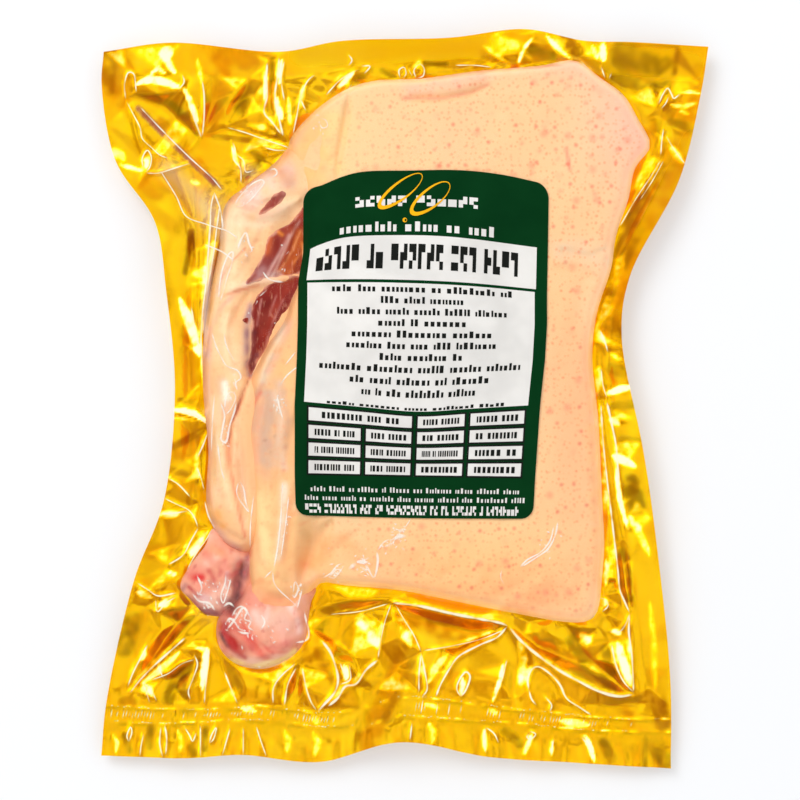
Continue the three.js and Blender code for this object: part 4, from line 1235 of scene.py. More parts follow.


# Painted shade and reflection on the foil's facets, and a pleat of the film: colour, strength, width in
# pixels, then the pixels each runs through
AMBER = (236, 154, 0)
PLEAT = (176, 100, 72)
BROWN = (188, 112, 0)
OLIVE = (176, 124, 0)
GLOW_FROM = 115  # degrees in plan, from the right, that the lit facets lean towards
SHADE_FROM = -110  # and the shaded ones
LIT_SIDE = np.array((1.6, 2.2))  # pixels from a fold to the shadow beside it
FOIL_MARKS = [
    (AMBER, 0.85, 14, (680, 168), (654, 212), (628, 262), (612, 300), (608, 326)),
    (BROWN, 0.6, 2.6, (652, 175), (632, 213), (616, 252)),
    (BROWN, 0.6, 2.2, (636, 222), (622, 255), (606, 300)),
    (BROWN, 0.7, 2, (622, 236), (610, 272), (601, 312)),
    (AMBER, 0.6, 8, (700, 70), (694, 110), (676, 150)),
    (OLIVE, 0.5, 7, (640, 56), (656, 70), (668, 62)),
    (OLIVE, 0.5, 5, (616, 62), (628, 74)),
    (PLEAT, 1, 3.4, (138, 108), (160, 130), (184, 154), (220, 188)),
    # top left corner
    (BROWN, 0.75, 14, (106, 56), (114, 82)),
    (AMBER, 0.6, 10, (126, 55), (122, 100)),
    (OLIVE, 0.7, 4, (156, 97), (172, 104), (186, 118), (198, 132)),
    (AMBER, 0.8, 10, (222, 76), (216, 104), (208, 128)),
    (AMBER, 0.6, 12, (222, 58), (250, 60)),
    (OLIVE, 0.7, 7, (248, 90), (240, 108)),
    (OLIVE, 0.8, 2.6, (272, 58), (272, 92)),
    (OLIVE, 0.7, 4, (250, 148), (262, 160), (246, 176)),
    (AMBER, 0.5, 9, (140, 184), (156, 194)),
    (AMBER, 0.6, 5, (160, 120), (184, 144), (204, 168)),
    (BROWN, 0.6, 3, (214, 136), (240, 139), (262, 141)),
    # top
    (OLIVE, 0.9, 6, (532, 50), (550, 56)),
    (BROWN, 0.7, 6, (566, 38), (577, 54)),
    (OLIVE, 0.8, 2.6, (424, 63), (446, 64)),
    (OLIVE, 0.7, 3, (382, 70), (394, 77)),
    (OLIVE, 0.6, 4, (352, 82), (362, 76)),
    (AMBER, 0.7, 3, (455, 70), (495, 68)),
    # top right corner
    (OLIVE, 0.55, 13, (622, 52), (650, 64)),
    (OLIVE, 0.6, 8, (616, 80), (652, 86)),
    (BROWN, 0.6, 2.6, (678, 48), (675, 74)),
    (OLIVE, 0.5, 5, (692, 128), (672, 122)),
    (AMBER, 0.8, 8, (650, 124), (656, 150)),
    # right side
    (BROWN, 0.5, 5, (664, 172), (646, 202), (632, 232)),
    (AMBER, 0.6, 8, (640, 172), (628, 205)),
    (BROWN, 0.7, 3, (622, 270), (608, 306), (603, 318)),
    (BROWN, 0.9, 3, (648, 192), (632, 222), (614, 256)),
    (BROWN, 0.7, 5, (640, 230), (622, 268)),
    (BROWN, 0.7, 7, (604, 318), (618, 332)),
    (OLIVE, 0.5, 6, (612, 368), (622, 372)),
    (OLIVE, 0.6, 5, (614, 406), (634, 404)),
    (OLIVE, 0.5, 5, (622, 440), (640, 442)),
    (OLIVE, 0.95, 10, (630, 484), (636, 506)),
    (OLIVE, 0.7, 3, (622, 550), (630, 575), (631, 600)),
    (OLIVE, 0.7, 6, (606, 650), (612, 672)),
    (BROWN, 0.6, 9, (660, 706), (664, 724)),
    (OLIVE, 0.6, 10, (656, 748), (666, 762)),
    (AMBER, 0.7, 5, (626, 708), (632, 724)),
    # bottom
    (AMBER, 0.95, 12, (410, 616), (440, 628), (478, 634)),
    (BROWN, 0.6, 4, (430, 622), (480, 626)),
    (AMBER, 0.9, 12, (400, 672), (384, 704), (368, 744)),
    (BROWN, 0.5, 4, (412, 662), (398, 694), (384, 720)),
    (AMBER, 0.8, 6, (548, 648), (570, 660), (592, 676)),
    (OLIVE, 0.7, 6, (572, 640), (586, 664), (612, 690)),
    (OLIVE, 0.6, 5, (336, 652), (350, 656)),
    (AMBER, 0.7, 4, (316, 650), (326, 676)),
    (BROWN, 0.5, 4, (330, 676), (334, 684)),
    (AMBER, 0.6, 5, (238, 676), (246, 700)),
    (AMBER, 0.6, 6, (300, 640), (308, 660)),
    # bottom left corner
    (OLIVE, 0.9, 6, (188, 668), (174, 682), (168, 700)),
    (AMBER, 0.9, 4, (136, 684), (156, 656), (182, 624)),
    (BROWN, 0.6, 2, (140, 676), (162, 650), (180, 630)),
    (OLIVE, 0.7, 10, (132, 622), (124, 648)),
    (BROWN, 0.5, 5, (122, 702), (132, 702)),
    # left side
    (OLIVE, 0.95, 4.5, (191, 232), (190, 255), (187, 272)),
    (AMBER, 0.85, 11, (174, 452), (192, 450), (206, 442)),
    (BROWN, 0.8, 4, (206, 429), (190, 438), (173, 447)),
    (BROWN, 0.6, 4, (170, 470), (186, 474), (196, 482)),
    (AMBER, 0.7, 8, (184, 486), (200, 494), (206, 506)),
    (AMBER, 0.7, 9, (192, 340), (196, 370), (200, 400)),
    (BROWN, 0.5, 3, (180, 400), (190, 402), (202, 408)),
    (AMBER, 0.6, 8, (150, 552), (168, 550)),
    (AMBER, 0.8, 6, (164, 580), (172, 588)),
    (AMBER, 0.4, 8, (150, 210), (170, 225)),
    # the skirt below the machine's seal
    (OLIVE, 0.8, 3.4, (124, 736), (128, 752)),
    (OLIVE, 0.7, 4, (150, 728), (148, 748)),
    (OLIVE, 0.8, 3, (205, 728), (204, 750)),
    (OLIVE, 0.6, 4, (190, 748), (194, 755)),
    (BROWN, 0.6, 3, (358, 730), (354, 750)),
    (OLIVE, 0.6, 5, (506, 732), (520, 745)),
    (OLIVE, 0.6, 6, (604, 744), (612, 760)),
    (OLIVE, 0.6, 3, (646, 740), (646, 768)),
]

# Where the foil catches the light: strength, width in pixels, then the pixels each runs through
FOIL_GLOW = [
    (0.07, 13, (680, 168), (654, 212), (628, 262), (612, 300), (608, 326)),
    # top left corner
    (0.95, 6, (136, 84), (150, 79), (166, 82), (180, 88)),
    (0.8, 4, (184, 88), (191, 102), (198, 122)),
    (0.8, 5, (160, 52), (168, 62), (176, 74)),
    (0.6, 3, (150, 74), (158, 68), (166, 74)),
    (0.45, 9, (164, 46), (170, 58)),
    (0.8, 3.2, (281, 58), (279, 84)),
    (0.7, 2.4, (266, 70), (265, 100)),
    (0.8, 4, (276, 96), (282, 120)),
    (0.45, 8, (110, 148), (126, 160)),
    (0.7, 3.5, (118, 164), (142, 171)),
    (0.7, 3, (145, 158), (147, 168)),
    (0.4, 5, (190, 180), (200, 184)),
    (0.4, 4, (197, 58), (202, 84)),
    (0.6, 3, (232, 146), (238, 166)),
    (0.4, 4, (304, 84), (300, 108)),
    (0.4, 4, (288, 96), (290, 126)),
    (0.35, 5, (246, 124), (260, 126), (276, 134)),
    # top
    (0.8, 4, (338, 88), (354, 72)),
    (0.3, 3.4, (482, 44), (498, 56), (512, 66)),
    (0.8, 2.6, (518, 64), (524, 48), (534, 36)),
    (0.7, 3, (545, 34), (558, 48), (572, 60)),
    # top right corner
    (0.9, 4.5, (603, 42), (604, 62)),
    (0.45, 3, (592, 44), (598, 60)),
    (0.6, 3, (682, 92), (692, 91), (702, 94)),
    (0.45, 4, (698, 102), (684, 106), (670, 104)),
    (0.4, 3, (690, 114), (680, 110)),
    (0.35, 6, (670, 145), (684, 164)),
    # right side
    (0.45, 4, (610, 354), (622, 360)),
    (0.9, 5, (606, 394), (618, 390), (632, 386)),
    (0.6, 5, (610, 418), (620, 426)),
    (1, 6, (612, 455), (624, 461), (636, 467)),
    (0.8, 3.4, (616, 470), (620, 500), (628, 530)),
    (0.45, 6, (630, 516), (640, 534), (650, 556)),
    (0.4, 4, (606, 560), (606, 585)),
    (1, 6, (618, 642), (624, 664), (631, 686)),
    (0.7, 4, (612, 632), (622, 634)),
    (0.3, 5, (650, 600), (654, 640), (656, 690)),
    # bottom
    (0.4, 6, (400, 625), (412, 648)),
    (0.4, 5, (448, 654), (436, 668), (428, 684)),
    (0.35, 6, (518, 640), (524, 660), (520, 684)),
    (0.8, 3.4, (463, 678), (461, 696)),
    (0.8, 3, (504, 664), (499, 684), (493, 702)),
    (0.4, 6, (580, 634), (592, 644)),
    (0.8, 3.4, (344, 664), (347, 680)),
    (0.35, 6, (380, 650), (368, 632), (354, 618)),
    # bottom left corner
    (0.7, 4, (140, 662), (146, 650)),
    (0.8, 5, (196, 648), (206, 650), (202, 690)),
    (0.6, 4, (148, 688), (152, 698)),
    (0.5, 5, (180, 652), (160, 670), (142, 684)),
    (0.4, 5, (136, 592), (152, 598)),
    # left side
    (0.85, 7, (180, 298), (186, 314), (193, 332), (199, 356)),
    (0.45, 2.2, (203, 320), (201, 350), (203, 390)),
    (0.9, 4, (172, 409), (184, 411), (196, 414), (208, 422)),
    (0.4, 2.6, (172, 418), (186, 419), (200, 421)),
    (0.45, 5, (158, 516), (180, 514)),
    (0.4, 5, (202, 538), (190, 556)),
    (0.7, 3.5, (168, 572), (177, 574)),
    (0.6, 5, (158, 606), (170, 602)),
    # the skirt below the machine's seal
    (0.45, 4, (112, 736), (116, 744), (115, 754)),
    (0.4, 4, (177, 730), (181, 742), (179, 754)),
    (0.4, 5, (284, 730), (288, 740), (286, 754)),
    (0.45, 5, (312, 732), (318, 744), (314, 758)),
    (0.4, 5, (428, 722), (434, 732), (432, 744)),
    (0.7, 3.6, (484, 730), (486, 752)),
    (0.6, 4, (532, 736), (524, 756)),
    (0.7, 2.6, (553, 742), (552, 758)),
    (0.8, 4, (586, 736), (596, 764)),
    # the narrow gathers above it
    (0.6, 4, (240, 708), (256, 712)),
    (0.5, 5, (312, 716), (318, 726)),
    (0.5, 6, (560, 722), (590, 726)),
    (0.5, 4, (488, 710), (498, 714)),
    (0.5, 4, (424, 704), (440, 708)),
]

# Where the foil is smooth: width in pixels, then the pixels that each strip runs through
SMOOTH_STRIPS = [
    (12, (300, 54), (360, 52), (420, 50), (480, 46)),
    (15, (616, 60), (650, 62), (690, 66)),
    (12, (694, 140), (664, 200), (636, 254), (622, 300)),
]

# Painted highlights along the sharp folds of the foil: width in pixels, then the pixels each runs through
GLINTS = [
    # bottom
    (2.8, (393, 603), (420, 606), (450, 613), (475, 618), (500, 623), (508, 626)),
    (2, (507, 627), (498, 637), (480, 645), (458, 657), (450, 668), (440, 686), (436, 697)),
    (3, (510, 628), (520, 640), (540, 657), (560, 671), (580, 682), (600, 692), (620, 697), (634, 695)),
    (1.8, (421, 653), (424, 668), (427, 690), (422, 697)),
    (1.6, (421, 655), (419, 675), (419, 692)),
    (1, (424, 651), (450, 647), (480, 640), (505, 630)),
    (1, (396, 606), (404, 620), (414, 636), (421, 652)),
    (2, (529, 690), (528, 680), (532, 670), (538, 667), (550, 674), (560, 685), (567, 699),
     (580, 708), (592, 716)),
    (1.6, (529, 690), (532, 700), (537, 706)),
    (1.8, (461, 697), (457, 690), (458, 683), (466, 672), (470, 676), (466, 690), (461, 697)),
    (1.4, (507, 660), (502, 680), (494, 700)),
    (1.6, (545, 697), (552, 706), (550, 713)),
    (2.6, (378, 660), (366, 670), (356, 684), (345, 687), (338, 698), (328, 707)),
    (2.4, (322, 641), (330, 652), (335, 665), (338, 680), (335, 692), (325, 704), (318, 712)),
    (1.6, (340, 663), (344, 674), (348, 683)),
    (1.4, (340, 685), (350, 680), (349, 664)),
    (2, (302, 668), (306, 688), (311, 703), (316, 711)),
    (2, (295, 664), (284, 673), (277, 681), (273, 690), (273, 704)),
    (1.7, (296, 668), (288, 684), (284, 706)),
    (1.6, (224, 672), (230, 688), (237, 704)),
    (1.2, (391, 604), (384, 625), (380, 645), (378, 658)),
    (1, (388, 604), (360, 612), (330, 615)),
    # bottom left corner
    (1.8, (204, 704), (205, 690), (207, 670), (209, 648)),
    (1.6, (190, 700), (188, 692), (193, 678), (197, 664), (194, 655)),
    (1.8, (127, 687), (133, 672), (142, 655), (147, 645)),
    (2.2, (129, 694), (140, 680), (158, 662), (175, 647), (185, 638)),
    (1.5, (142, 683), (150, 690), (156, 702)),
    (1.3, (142, 684), (146, 694), (149, 704)),
    (1.4, (160, 664), (160, 672), (163, 679)),
    (1.3, (150, 681), (168, 674), (182, 664), (194, 660)),
    (1.6, (137, 583), (148, 590), (157, 596), (176, 593)),
    (1.3, (155, 600), (157, 612), (166, 603), (176, 597)),
    # left side
    (1.7, (214, 192), (211, 205), (210, 225), (208, 255), (206, 285), (203, 310), (201, 340), (202, 366)),
    (1.6, (220, 204), (217, 225), (214, 250), (210, 275), (206, 295)),
    (1.6, (191, 306), (195, 328), (200, 352)),
    (2.2, (178, 412), (190, 414), (200, 418), (208, 425)),
    (1.5, (208, 432), (203, 445), (197, 458)),
    (1.2, (196, 466), (201, 478), (204, 490)),
    (1.6, (168, 478), (178, 484), (190, 497)),
    (1.3, (164, 498), (178, 505), (188, 510), (194, 517), (198, 528)),
    (1.6, (160, 514), (175, 513), (188, 511)),
    (1.4, (213, 528), (206, 540), (197, 552), (187, 570)),
    (1.4, (198, 528), (190, 542), (183, 555), (168, 565)),
    # top left corner
    (1.5, (125, 98), (124, 84), (128, 72), (133, 73), (136, 92)),
    (1.2, (126, 101), (134, 116), (140, 128), (142, 138), (152, 148), (160, 155), (168, 158)),
    (1.4, (143, 168), (142, 158), (147, 150), (151, 156), (150, 166), (146, 172)),
    (1.5, (146, 173), (158, 173), (175, 168), (190, 163)),
    (2.4, (192, 108), (195, 120), (201, 137)),
    (1.5, (202, 136), (204, 115), (204, 95), (202, 80)),
    (1.6, (182, 74), (184, 82), (178, 90)),
    (2, (267, 62), (266, 82), (267, 95), (264, 112), (272, 122), (281, 134)),
    (2.2, (279, 57), (277, 78), (275, 95), (279, 118), (283, 136)),
    (1.5, (284, 60), (281, 78), (284, 100)),
    (1.3, (232, 141), (235, 150), (233, 158), (240, 168), (241, 183)),
    (1.3, (236, 154), (243, 160), (246, 172), (254, 170)),
    (1.2, (264, 147), (276, 150), (288, 150)),
    (1.2, (227, 127), (245, 132), (262, 138), (290, 148)),
    (1.4, (293, 134), (297, 115), (300, 98), (308, 80), (315, 74)),
    (1.3, (300, 98), (306, 111)),
    (1.4, (326, 95), (338, 82), (350, 73), (358, 70)),
    (1.3, (352, 84), (346, 92)),
    # top
    (1.4, (348, 66), (352, 60), (348, 54)),
    (1.4, (361, 66), (370, 66), (364, 74)),
    (1.4, (400, 78), (399, 70), (404, 67), (406, 74), (403, 78)),
    (1.4, (416, 78), (414, 70), (420, 64), (424, 68), (423, 76), (417, 78)),
    (1.2, (408, 68), (412, 76)),
    (1.2, (455, 65), (475, 65), (492, 67)),
    (1.3, (580, 60), (588, 68), (598, 78)),
    (1.4, (601, 66), (605, 78)),
    (1.3, (609, 79), (612, 72)),
    # right side
    (1.5, (659, 104), (663, 94), (668, 88), (672, 94), (674, 98), (681, 93)),
    (1.4, (661, 109), (666, 103), (669, 96)),
    (1.1, (661, 160), (650, 178), (637, 197), (620, 226)),
    (1, (664, 160), (653, 180), (640, 200)),
    (1.3, (664, 128), (662, 140), (661, 155)),
    (1, (666, 135), (675, 150), (686, 165)),
    (1.5, (600, 330), (605, 342), (608, 352)),
    (1.5, (601, 368), (603, 385), (607, 398)),
    (2.2, (607, 402), (612, 425), (616, 445), (618, 470), (620, 500), (625, 520)),
    (1.8, (601, 405), (603, 440), (607, 480), (612, 520), (618, 570), (620, 590), (625, 602), (630, 613)),
    (1.8, (630, 614), (626, 624), (620, 632), (610, 632)),
    (2, (630, 615), (629, 630), (632, 655), (634, 692)),
    (1.6, (612, 645), (616, 665), (624, 682), (634, 693)),
    (1.4, (600, 598), (606, 600), (608, 606), (602, 612)),
    # the skirt, with the loops that hang from the machine's seal
    (1.3, (128, 743), (126, 737), (130, 728), (131, 733), (128, 743)),
    (1.4, (143, 734), (140, 748), (139, 758)),
    (1.8, (160, 728), (159, 745), (162, 758)),
    (1.8, (164, 726), (166, 740), (165, 756)),
    (1.4, (184, 728), (189, 736), (192, 742), (196, 733)),
    (1.3, (200, 726), (200, 758)),
    (1.5, (209, 744), (211, 736), (216, 728), (213, 740), (209, 744)),
    (1.3, (230, 728), (226, 742), (222, 756)),
    (1.3, (243, 728), (243, 756)),
    (1.3, (256, 727), (260, 740), (266, 757)),
    (1.4, (412, 722), (410, 740)),
    (1.6, (486, 728), (484, 740), (486, 754)),
    (1.5, (486, 728), (494, 734), (499, 744)),
    (1.4, (530, 734), (527, 738), (531, 740), (536, 735), (530, 732)),
    (1.4, (554, 740), (551, 758)),
    (1.6, (582, 738), (590, 748), (594, 754), (590, 742), (583, 737)),
]

# The machine's double seal: the edges of its band
SEAL_BAND = [
    [
        (104, 706), (160, 709), (220, 709), (260, 706), (285, 709), (310, 713), (340, 713), (365, 707),
        (400, 697), (440, 699), (480, 705), (520, 710), (560, 714), (610, 719), (671, 720),
    ],
    [
        (103, 722), (160, 724), (200, 722), (250, 720), (285, 723), (315, 727), (345, 726), (375, 723),
        (400, 715), (430, 717), (480, 721), (530, 725), (580, 730), (620, 732), (671, 733),
    ],
]
SEAL_STATIONS = 190
# Where along it the ribs are plainest: pixel, and reach in pixels
SEAL_PLAINEST = [(145, 28), (205, 14), (248, 18), (318, 18), (430, 24), (494, 10), (560, 40)]


def lean(turn):
    """Slope of the foil's creases towards a direction in plan, in degrees from the right"""
    up, across = np.gradient(foil_creases * bare_foil, STEP)
    return -across * math.cos(math.radians(turn)) - up * math.sin(math.radians(turn))


def beside_folds(shift, wider):
    """Bands along the sharp folds of the foil, shifted by pixels to one side of each"""
    bands = np.zeros(X.shape)
    for width, *pixels in GLINTS:
        bands = np.maximum(bands, stroke(np.array(pixels) + shift, wider * width, pointed))
    return bands


smooth_foil = np.clip(sum(streak(pixels, width) for width, *pixels in SMOOTH_STRIPS), 0, 1)


def foil_glow():
    """Where the foil is white with light: as listed, and on the facets that lean the right way"""
    ragged = np.clip(0.95 + 0.2 * unevenness(1.5, seed=143), 0.3, 1.3)
    painted = sum(
        strength * soft(0.2, 0.8, stroke(pixels, 0.8 * width, pointed))
        for strength, width, *pixels in FOIL_GLOW
    )
    lines = sum(streak(line, 1.1) for line in SEAL_BAND) * soft(-0.5, 1, unevenness(3, seed=144))
    painted = painted + 0.45 * lines + 0.3 * beside_folds(-LIT_SIDE, 1.1)
    facets = blur(soft(0.12, 0.2, lean(GLOW_FROM)) * soft(0.36, 0.26, lean(GLOW_FROM)), 0.4)
    facets = facets * (1 - smooth_foil)
    return np.clip((0.85 * painted + 0.3 * facets) * ragged, 0, 1)


def machine_seal():
    """The two lines of the machine's seal"""
    middle = sum(SKIRT) / 2
    return sum(bell(above_bottom - middle - offset, 2) for offset in (-3.2, 3.2))


def foil_colours():
    tarnish = unevenness(40, seed=141)
    gold = mottled((255, 195, 6), tarnish, ((255, 206, 24), 0.4, 0), ((250, 176, 0), 0.4, 0))
    gold = paint(gold, 0.55 * soft(0.12, 0.2, lean(SHADE_FROM)), AMBER)
    gold = paint(gold, 0.5 * soft(0.22, 0.32, lean(SHADE_FROM)), BROWN)
    for line in SEAL_BAND:
        shadow = [(x, y + 2.4) for x, y in line]
        gold = paint(gold, 0.45 * streak(shadow, 1.4) * soft(-0.8, 0.8, unevenness(5, seed=145)), OLIVE)
    gold = paint(gold, 0.55 * beside_folds(LIT_SIDE, 1.2), BROWN)
    return paint_marks(gold, FOIL_MARKS, seed=142, crisp=True)


def deepen(colours, power):
    """Draws colours away from that of plain skin"""
    plain = linear(*PLAIN_SKIN)
    return plain * (colours / plain) ** power


def front_leg_colours():
    mottle = unevenness(26, seed=101)
    skin = mottled((249, 201, 147), mottle, ((253, 214, 150), 0.35, -0.2), ((248, 188, 142), 0.35, 0.2))
    skin = paint_ovals(skin, PINK_TONES)
    skin = paint(skin, 0.45 * streak(CREAMY_BAND, 26), (255, 200, 150))
    skin = paint(skin, 0.3 * soft(9, 0, front_depth) * soft(40, 60, X), (250, 186, 152))
    skin = paint_ovals(skin, ORANGE_TONES)
    # painted light: the thigh's rim is lightened against the shade of its slope
    rim = 0.4 * soft(2.6, 0.6, front_depth) * soft(-40, -30, X)
    skin = paint(skin, rim, (255, 218, 164))
    skin = paint_marks(skin, FRONT_MARKS + [(RED_DOT, 0.4, 2, pixel) for pixel in RED_DOTS], seed=102)
    bone_end = soft(1, 5, front_knuckle_depth) * soft(7, 0, front_depth)
    skin = paint(skin, 0.85 * bone_end * soft(-1, 0.6, unevenness(4, seed=105)), (250, 184, 138))
    freckled = unevenness(3, seed=103) * soft(0.3, 1, unevenness(14, seed=104)) * soft(-20, -34, X)
    skin = paint(skin, 0.35 * soft(0.8, 2.2, freckled), (238, 160, 110))
    shaft = soft(-26, -38, X)[..., None]
    return mix(skin, deepen(skin, 1.35) * WARMTH, shaft)


def back_leg_colours():
    mottle = unevenness(14, seed=111)
    skin = mottled((249, 206, 154), mottle, ((254, 226, 184), 0.4, 0), ((246, 190, 146), 0.35, 0.2))
    skin = paint(skin, 0.6 * soft(3, 0, back_depth) * soft(-60, -68, X), (236, 178, 150))
    skin = paint_marks(skin, BACK_MARKS, seed=112)
    return deepen(skin, 1.5) * WARMTH


def muscle_colours():
    marbling = unevenness(4, seed=121, tall=7)
    flesh = mottled((138, 35, 24), marbling, ((190, 92, 70), 0.35, 0.4), ((122, 24, 16), 0.5, 0.4))
    flesh = paint_marks(flesh, MUSCLE_MARKS, seed=122)
    border = muscle_depth + 0.35 * unevenness(2.5, seed=123)
    return paint(flesh, 0.85 * soft(1, 0.1, border), (224, 158, 132))


def knuckle_colours():
    blush = -unevenness(7, seed=131)
    flesh = mottled((239, 162, 132), blush, ((249, 200, 176), 0.5, 0.2), ((228, 124, 108), 0.5, 0))
    flesh = paint_marks(flesh, KNUCKLE_MARKS, seed=132)
    veins = unevenness(2, seed=133) * soft(0, 1, unevenness(8, seed=134))
    return paint(flesh, 0.5 * soft(0.9, 2, veins), (196, 70, 64))


# Shader maths


class Signal:
    """A socket of a shader, so that maths on values reads as an expression"""

    def __init__(self, finish, socket):
        self.finish = finish
        self.socket = socket

    def maths(self, operation, *values):
        return self.finish.node("ShaderNodeMath", {"operation": operation}, dict(enumerate(values)))

    def __add__(self, other):
        return self.maths("ADD", self, other)

    __radd__ = __add__

    def __sub__(self, other):
        return self.maths("SUBTRACT", self, other)

    def __rsub__(self, other):
        return self.maths("SUBTRACT", other, self)

    def __mul__(self, other):
        return self.maths("MULTIPLY", self, other)

    __rmul__ = __mul__

    def step(self, low, high):
        """Smooth step from 0 at low to 1 at high"""
        inputs = {"Value": self, "From Min": low, "From Max": high}
        return self.finish.node("ShaderNodeMapRange", {"interpolation_type": "SMOOTHSTEP"}, inputs)


class Finish:
    """A material, or the studio's world, and the nodes that make it"""

    def __init__(self, name, kind="materials"):
        self.owner = getattr(bpy.data, kind).new(name)
        self.owner.use_nodes = True
        self.tree = self.owner.node_tree
        self.tree.nodes.clear()

    def node(self, kind, settings=None, inputs=None, output=0):
        """Adds a node: its settings first, then the values or links of its sockets"""
        node = self.tree.nodes.new(kind)
        for name, value in (settings or {}).items():
            setattr(node, name, value)
        for name, value in (inputs or {}).items():
            if isinstance(value, Signal):
                self.tree.links.new(value.socket, node.inputs[name])
            else:
                node.inputs[name].default_value = value
        return Signal(self, node.outputs[output])

    def place(self):
        """Position on the piece, in millimetres"""
        position = self.node("ShaderNodeTexCoord", output="Object")
        settings = {"operation": "SCALE"}
        return self.node("ShaderNodeVectorMath", settings, {"Vector": position, "Scale": 1 / MM})

    def mask(self, name):
        return self.node("ShaderNodeAttribute", {"attribute_name": name}, output="Fac")

    def tint(self):
        return self.node("ShaderNodeAttribute", {"attribute_name": "tint"}, output="Color")

    def noise(self, size, stretch=(1, 1, 1), detail=2.0):
        place = self.node("ShaderNodeVectorMath", {"operation": "MULTIPLY"}, {0: self.place(), 1: stretch})
        return self.node("ShaderNodeTexNoise", {}, {"Vector": place, "Scale": 1 / size, "Detail": detail})

    def colour_mix(self, share, a, b):
        sockets = {0: share, 6: rgba(a), 7: rgba(b)}
        return self.node("ShaderNodeMix", {"data_type": "RGBA"}, sockets, output=2)

    def bump(self, height, strength, distance):
        inputs = {"Height": height, "Strength": strength, "Distance": distance * MM}
        return self.node("ShaderNodeBump", {}, inputs)

    def surface(self, **inputs):
        return self.node("ShaderNodeBsdfPrincipled", {}, {k.replace("_", " "): v for k, v in inputs.items()})

    def done(self, shader, kind="ShaderNodeOutputMaterial"):
        output = self.tree.nodes.new(kind)
        self.tree.links.new(shader.socket, output.inputs["Surface"])
        return self.owner


def rgba(colour):
    return colour if isinstance(colour, Signal) else (*linear(*colour), 1)


def gold_foil():
    finish = Finish("gold_foil")
    grain = finish.noise(1.3, detail=3.0)
    ribs = (finish.noise(1.3, (1, 0.35, 0.3)) - 0.5) * finish.mask("machine_seal")
    glow = finish.mask("glow") * (0.6 + 0.8 * finish.noise(1.6, detail=3.0))
    light = finish.colour_mix(glow.step(0, 0.4), (0, 0, 0), (255, 200, 0))
    light = finish.colour_mix(glow.step(0.2, 0.75), light, (255, 250, 224))
    return finish.done(
        finish.surface(
            Base_Color=finish.tint(),
            Metallic=1.0,
            Roughness=0.06 + 0.1 * finish.noise(9) + 0.4 * finish.mask("smooth"),
            Normal=finish.bump(grain * 0.08 + ribs * 1.5, 0.8, 1.0),
            Emission_Color=light,
            Emission_Strength=1.0,
        )
    )


def clear_film():
    finish = Finish("clear_film")
    see_through = finish.node("ShaderNodeBsdfTransparent")
    wrinkle = finish.bump(finish.noise(3, detail=3.0), 0.3, 0.4)
    gloss = finish.node("ShaderNodeBsdfGlossy", {}, {"Roughness": 0.05, "Normal": wrinkle})
    facing = finish.node("ShaderNodeLayerWeight", {}, {"Blend": 0.5, "Normal": wrinkle}, output=1)
    share = 0.006 + 0.7 * facing * facing * facing * facing
    clear = finish.node("ShaderNodeMixShader", {}, {0: share, 1: see_through, 2: gloss})
    # the milky film, and painted sheen, where the mask marks it
    milky = finish.node("ShaderNodeBsdfDiffuse", {}, {"Color": rgba((242, 234, 224))})
    return finish.done(finish.node("ShaderNodeMixShader", {}, {0: finish.mask("haze"), 1: clear, 2: milky}))


def fold_shine(name, colour, strength):
    """A white shine along the folds of the foil or the film, clear between its strokes"""
    finish = Finish(name)
    see_through = finish.node("ShaderNodeBsdfTransparent")
    shine = finish.surface(
        Base_Color=rgba((90, 80, 60)),
        Roughness=0.4,
        Emission_Color=rgba(colour),
        Emission_Strength=0.85,
    )
    share = finish.mask("fade") * strength * (0.6 + 0.6 * finish.noise(2.5))
    return finish.done(finish.node("ShaderNodeMixShader", {}, {0: share, 1: see_through, 2: shine}))


# Pores and feather follicles of the skin: spacing and size in millimetres, strength and colour
PORES = [
    (2.3, 0.75, 0.46, (242, 140, 84)),
    (3.4, 0.95, 0.46, (238, 122, 80)),
    (8, 1.4, 0.6, (228, 96, 76)),
    (12, 2.6, 0.4, (236, 112, 90)),
]


def duck_skin():
    finish = Finish("duck_skin")
    place = finish.place()
    fade = finish.noise(8)
    skin = finish.tint()
    lit_rim = finish.colour_mix(finish.mask("rim") * 0.26, (0, 0, 0), skin)
    relief = finish.noise(1.2) * 0.1
    for spacing, size, strength, colour in PORES:
        settings = {"voronoi_dimensions": "2D"}
        inputs = {"Vector": place, "Scale": 1 / spacing, "Randomness": 0.85}
        distance = finish.node("ShaderNodeTexVoronoi", settings, inputs)
        chance = finish.node("ShaderNodeTexVoronoi", settings, inputs, output=1)
        dots = (1 - distance.step(0, size / spacing)) * chance.step(0.2, 0.7)
        dots = dots * fade.step(0.1, 0.45) * finish.mask("pores")
        skin = finish.colour_mix(dots * strength, skin, colour)
        relief = relief + dots * 0.05
    return finish.done(
        finish.surface(
            Base_Color=skin,
            Roughness=0.45,
            Emission_Color=lit_rim,
            Emission_Strength=1.0,
            Normal=finish.bump(relief, 0.5, 0.5),
        )
    )


def bare_flesh():
    finish = Finish("bare_flesh")
    fibre = finish.noise(1.0, (0.9, 0.25, 0.5), detail=3.0)
    flesh = finish.colour_mix(fibre.step(0.55, 0.75) * 0.3, finish.tint(), (240, 170, 140))
    return finish.done(
        finish.surface(
            Base_Color=flesh, Roughness=0.3, Specular_IOR_Level=0.2, Normal=finish.bump(fibre, 0.4, 0.4)
        )
    )


def knuckle_flesh():
    finish = Finish("knuckle_flesh")
    vein = finish.noise(2.6, (1, 0.6, 1), detail=4.0)
    flesh = finish.colour_mix(vein.step(0.55, 0.72) * 0.35, finish.tint(), (206, 84, 76))
    return finish.done(finish.surface(Base_Color=flesh, Roughness=0.3, Normal=finish.bump(vein, 0.4, 0.6)))


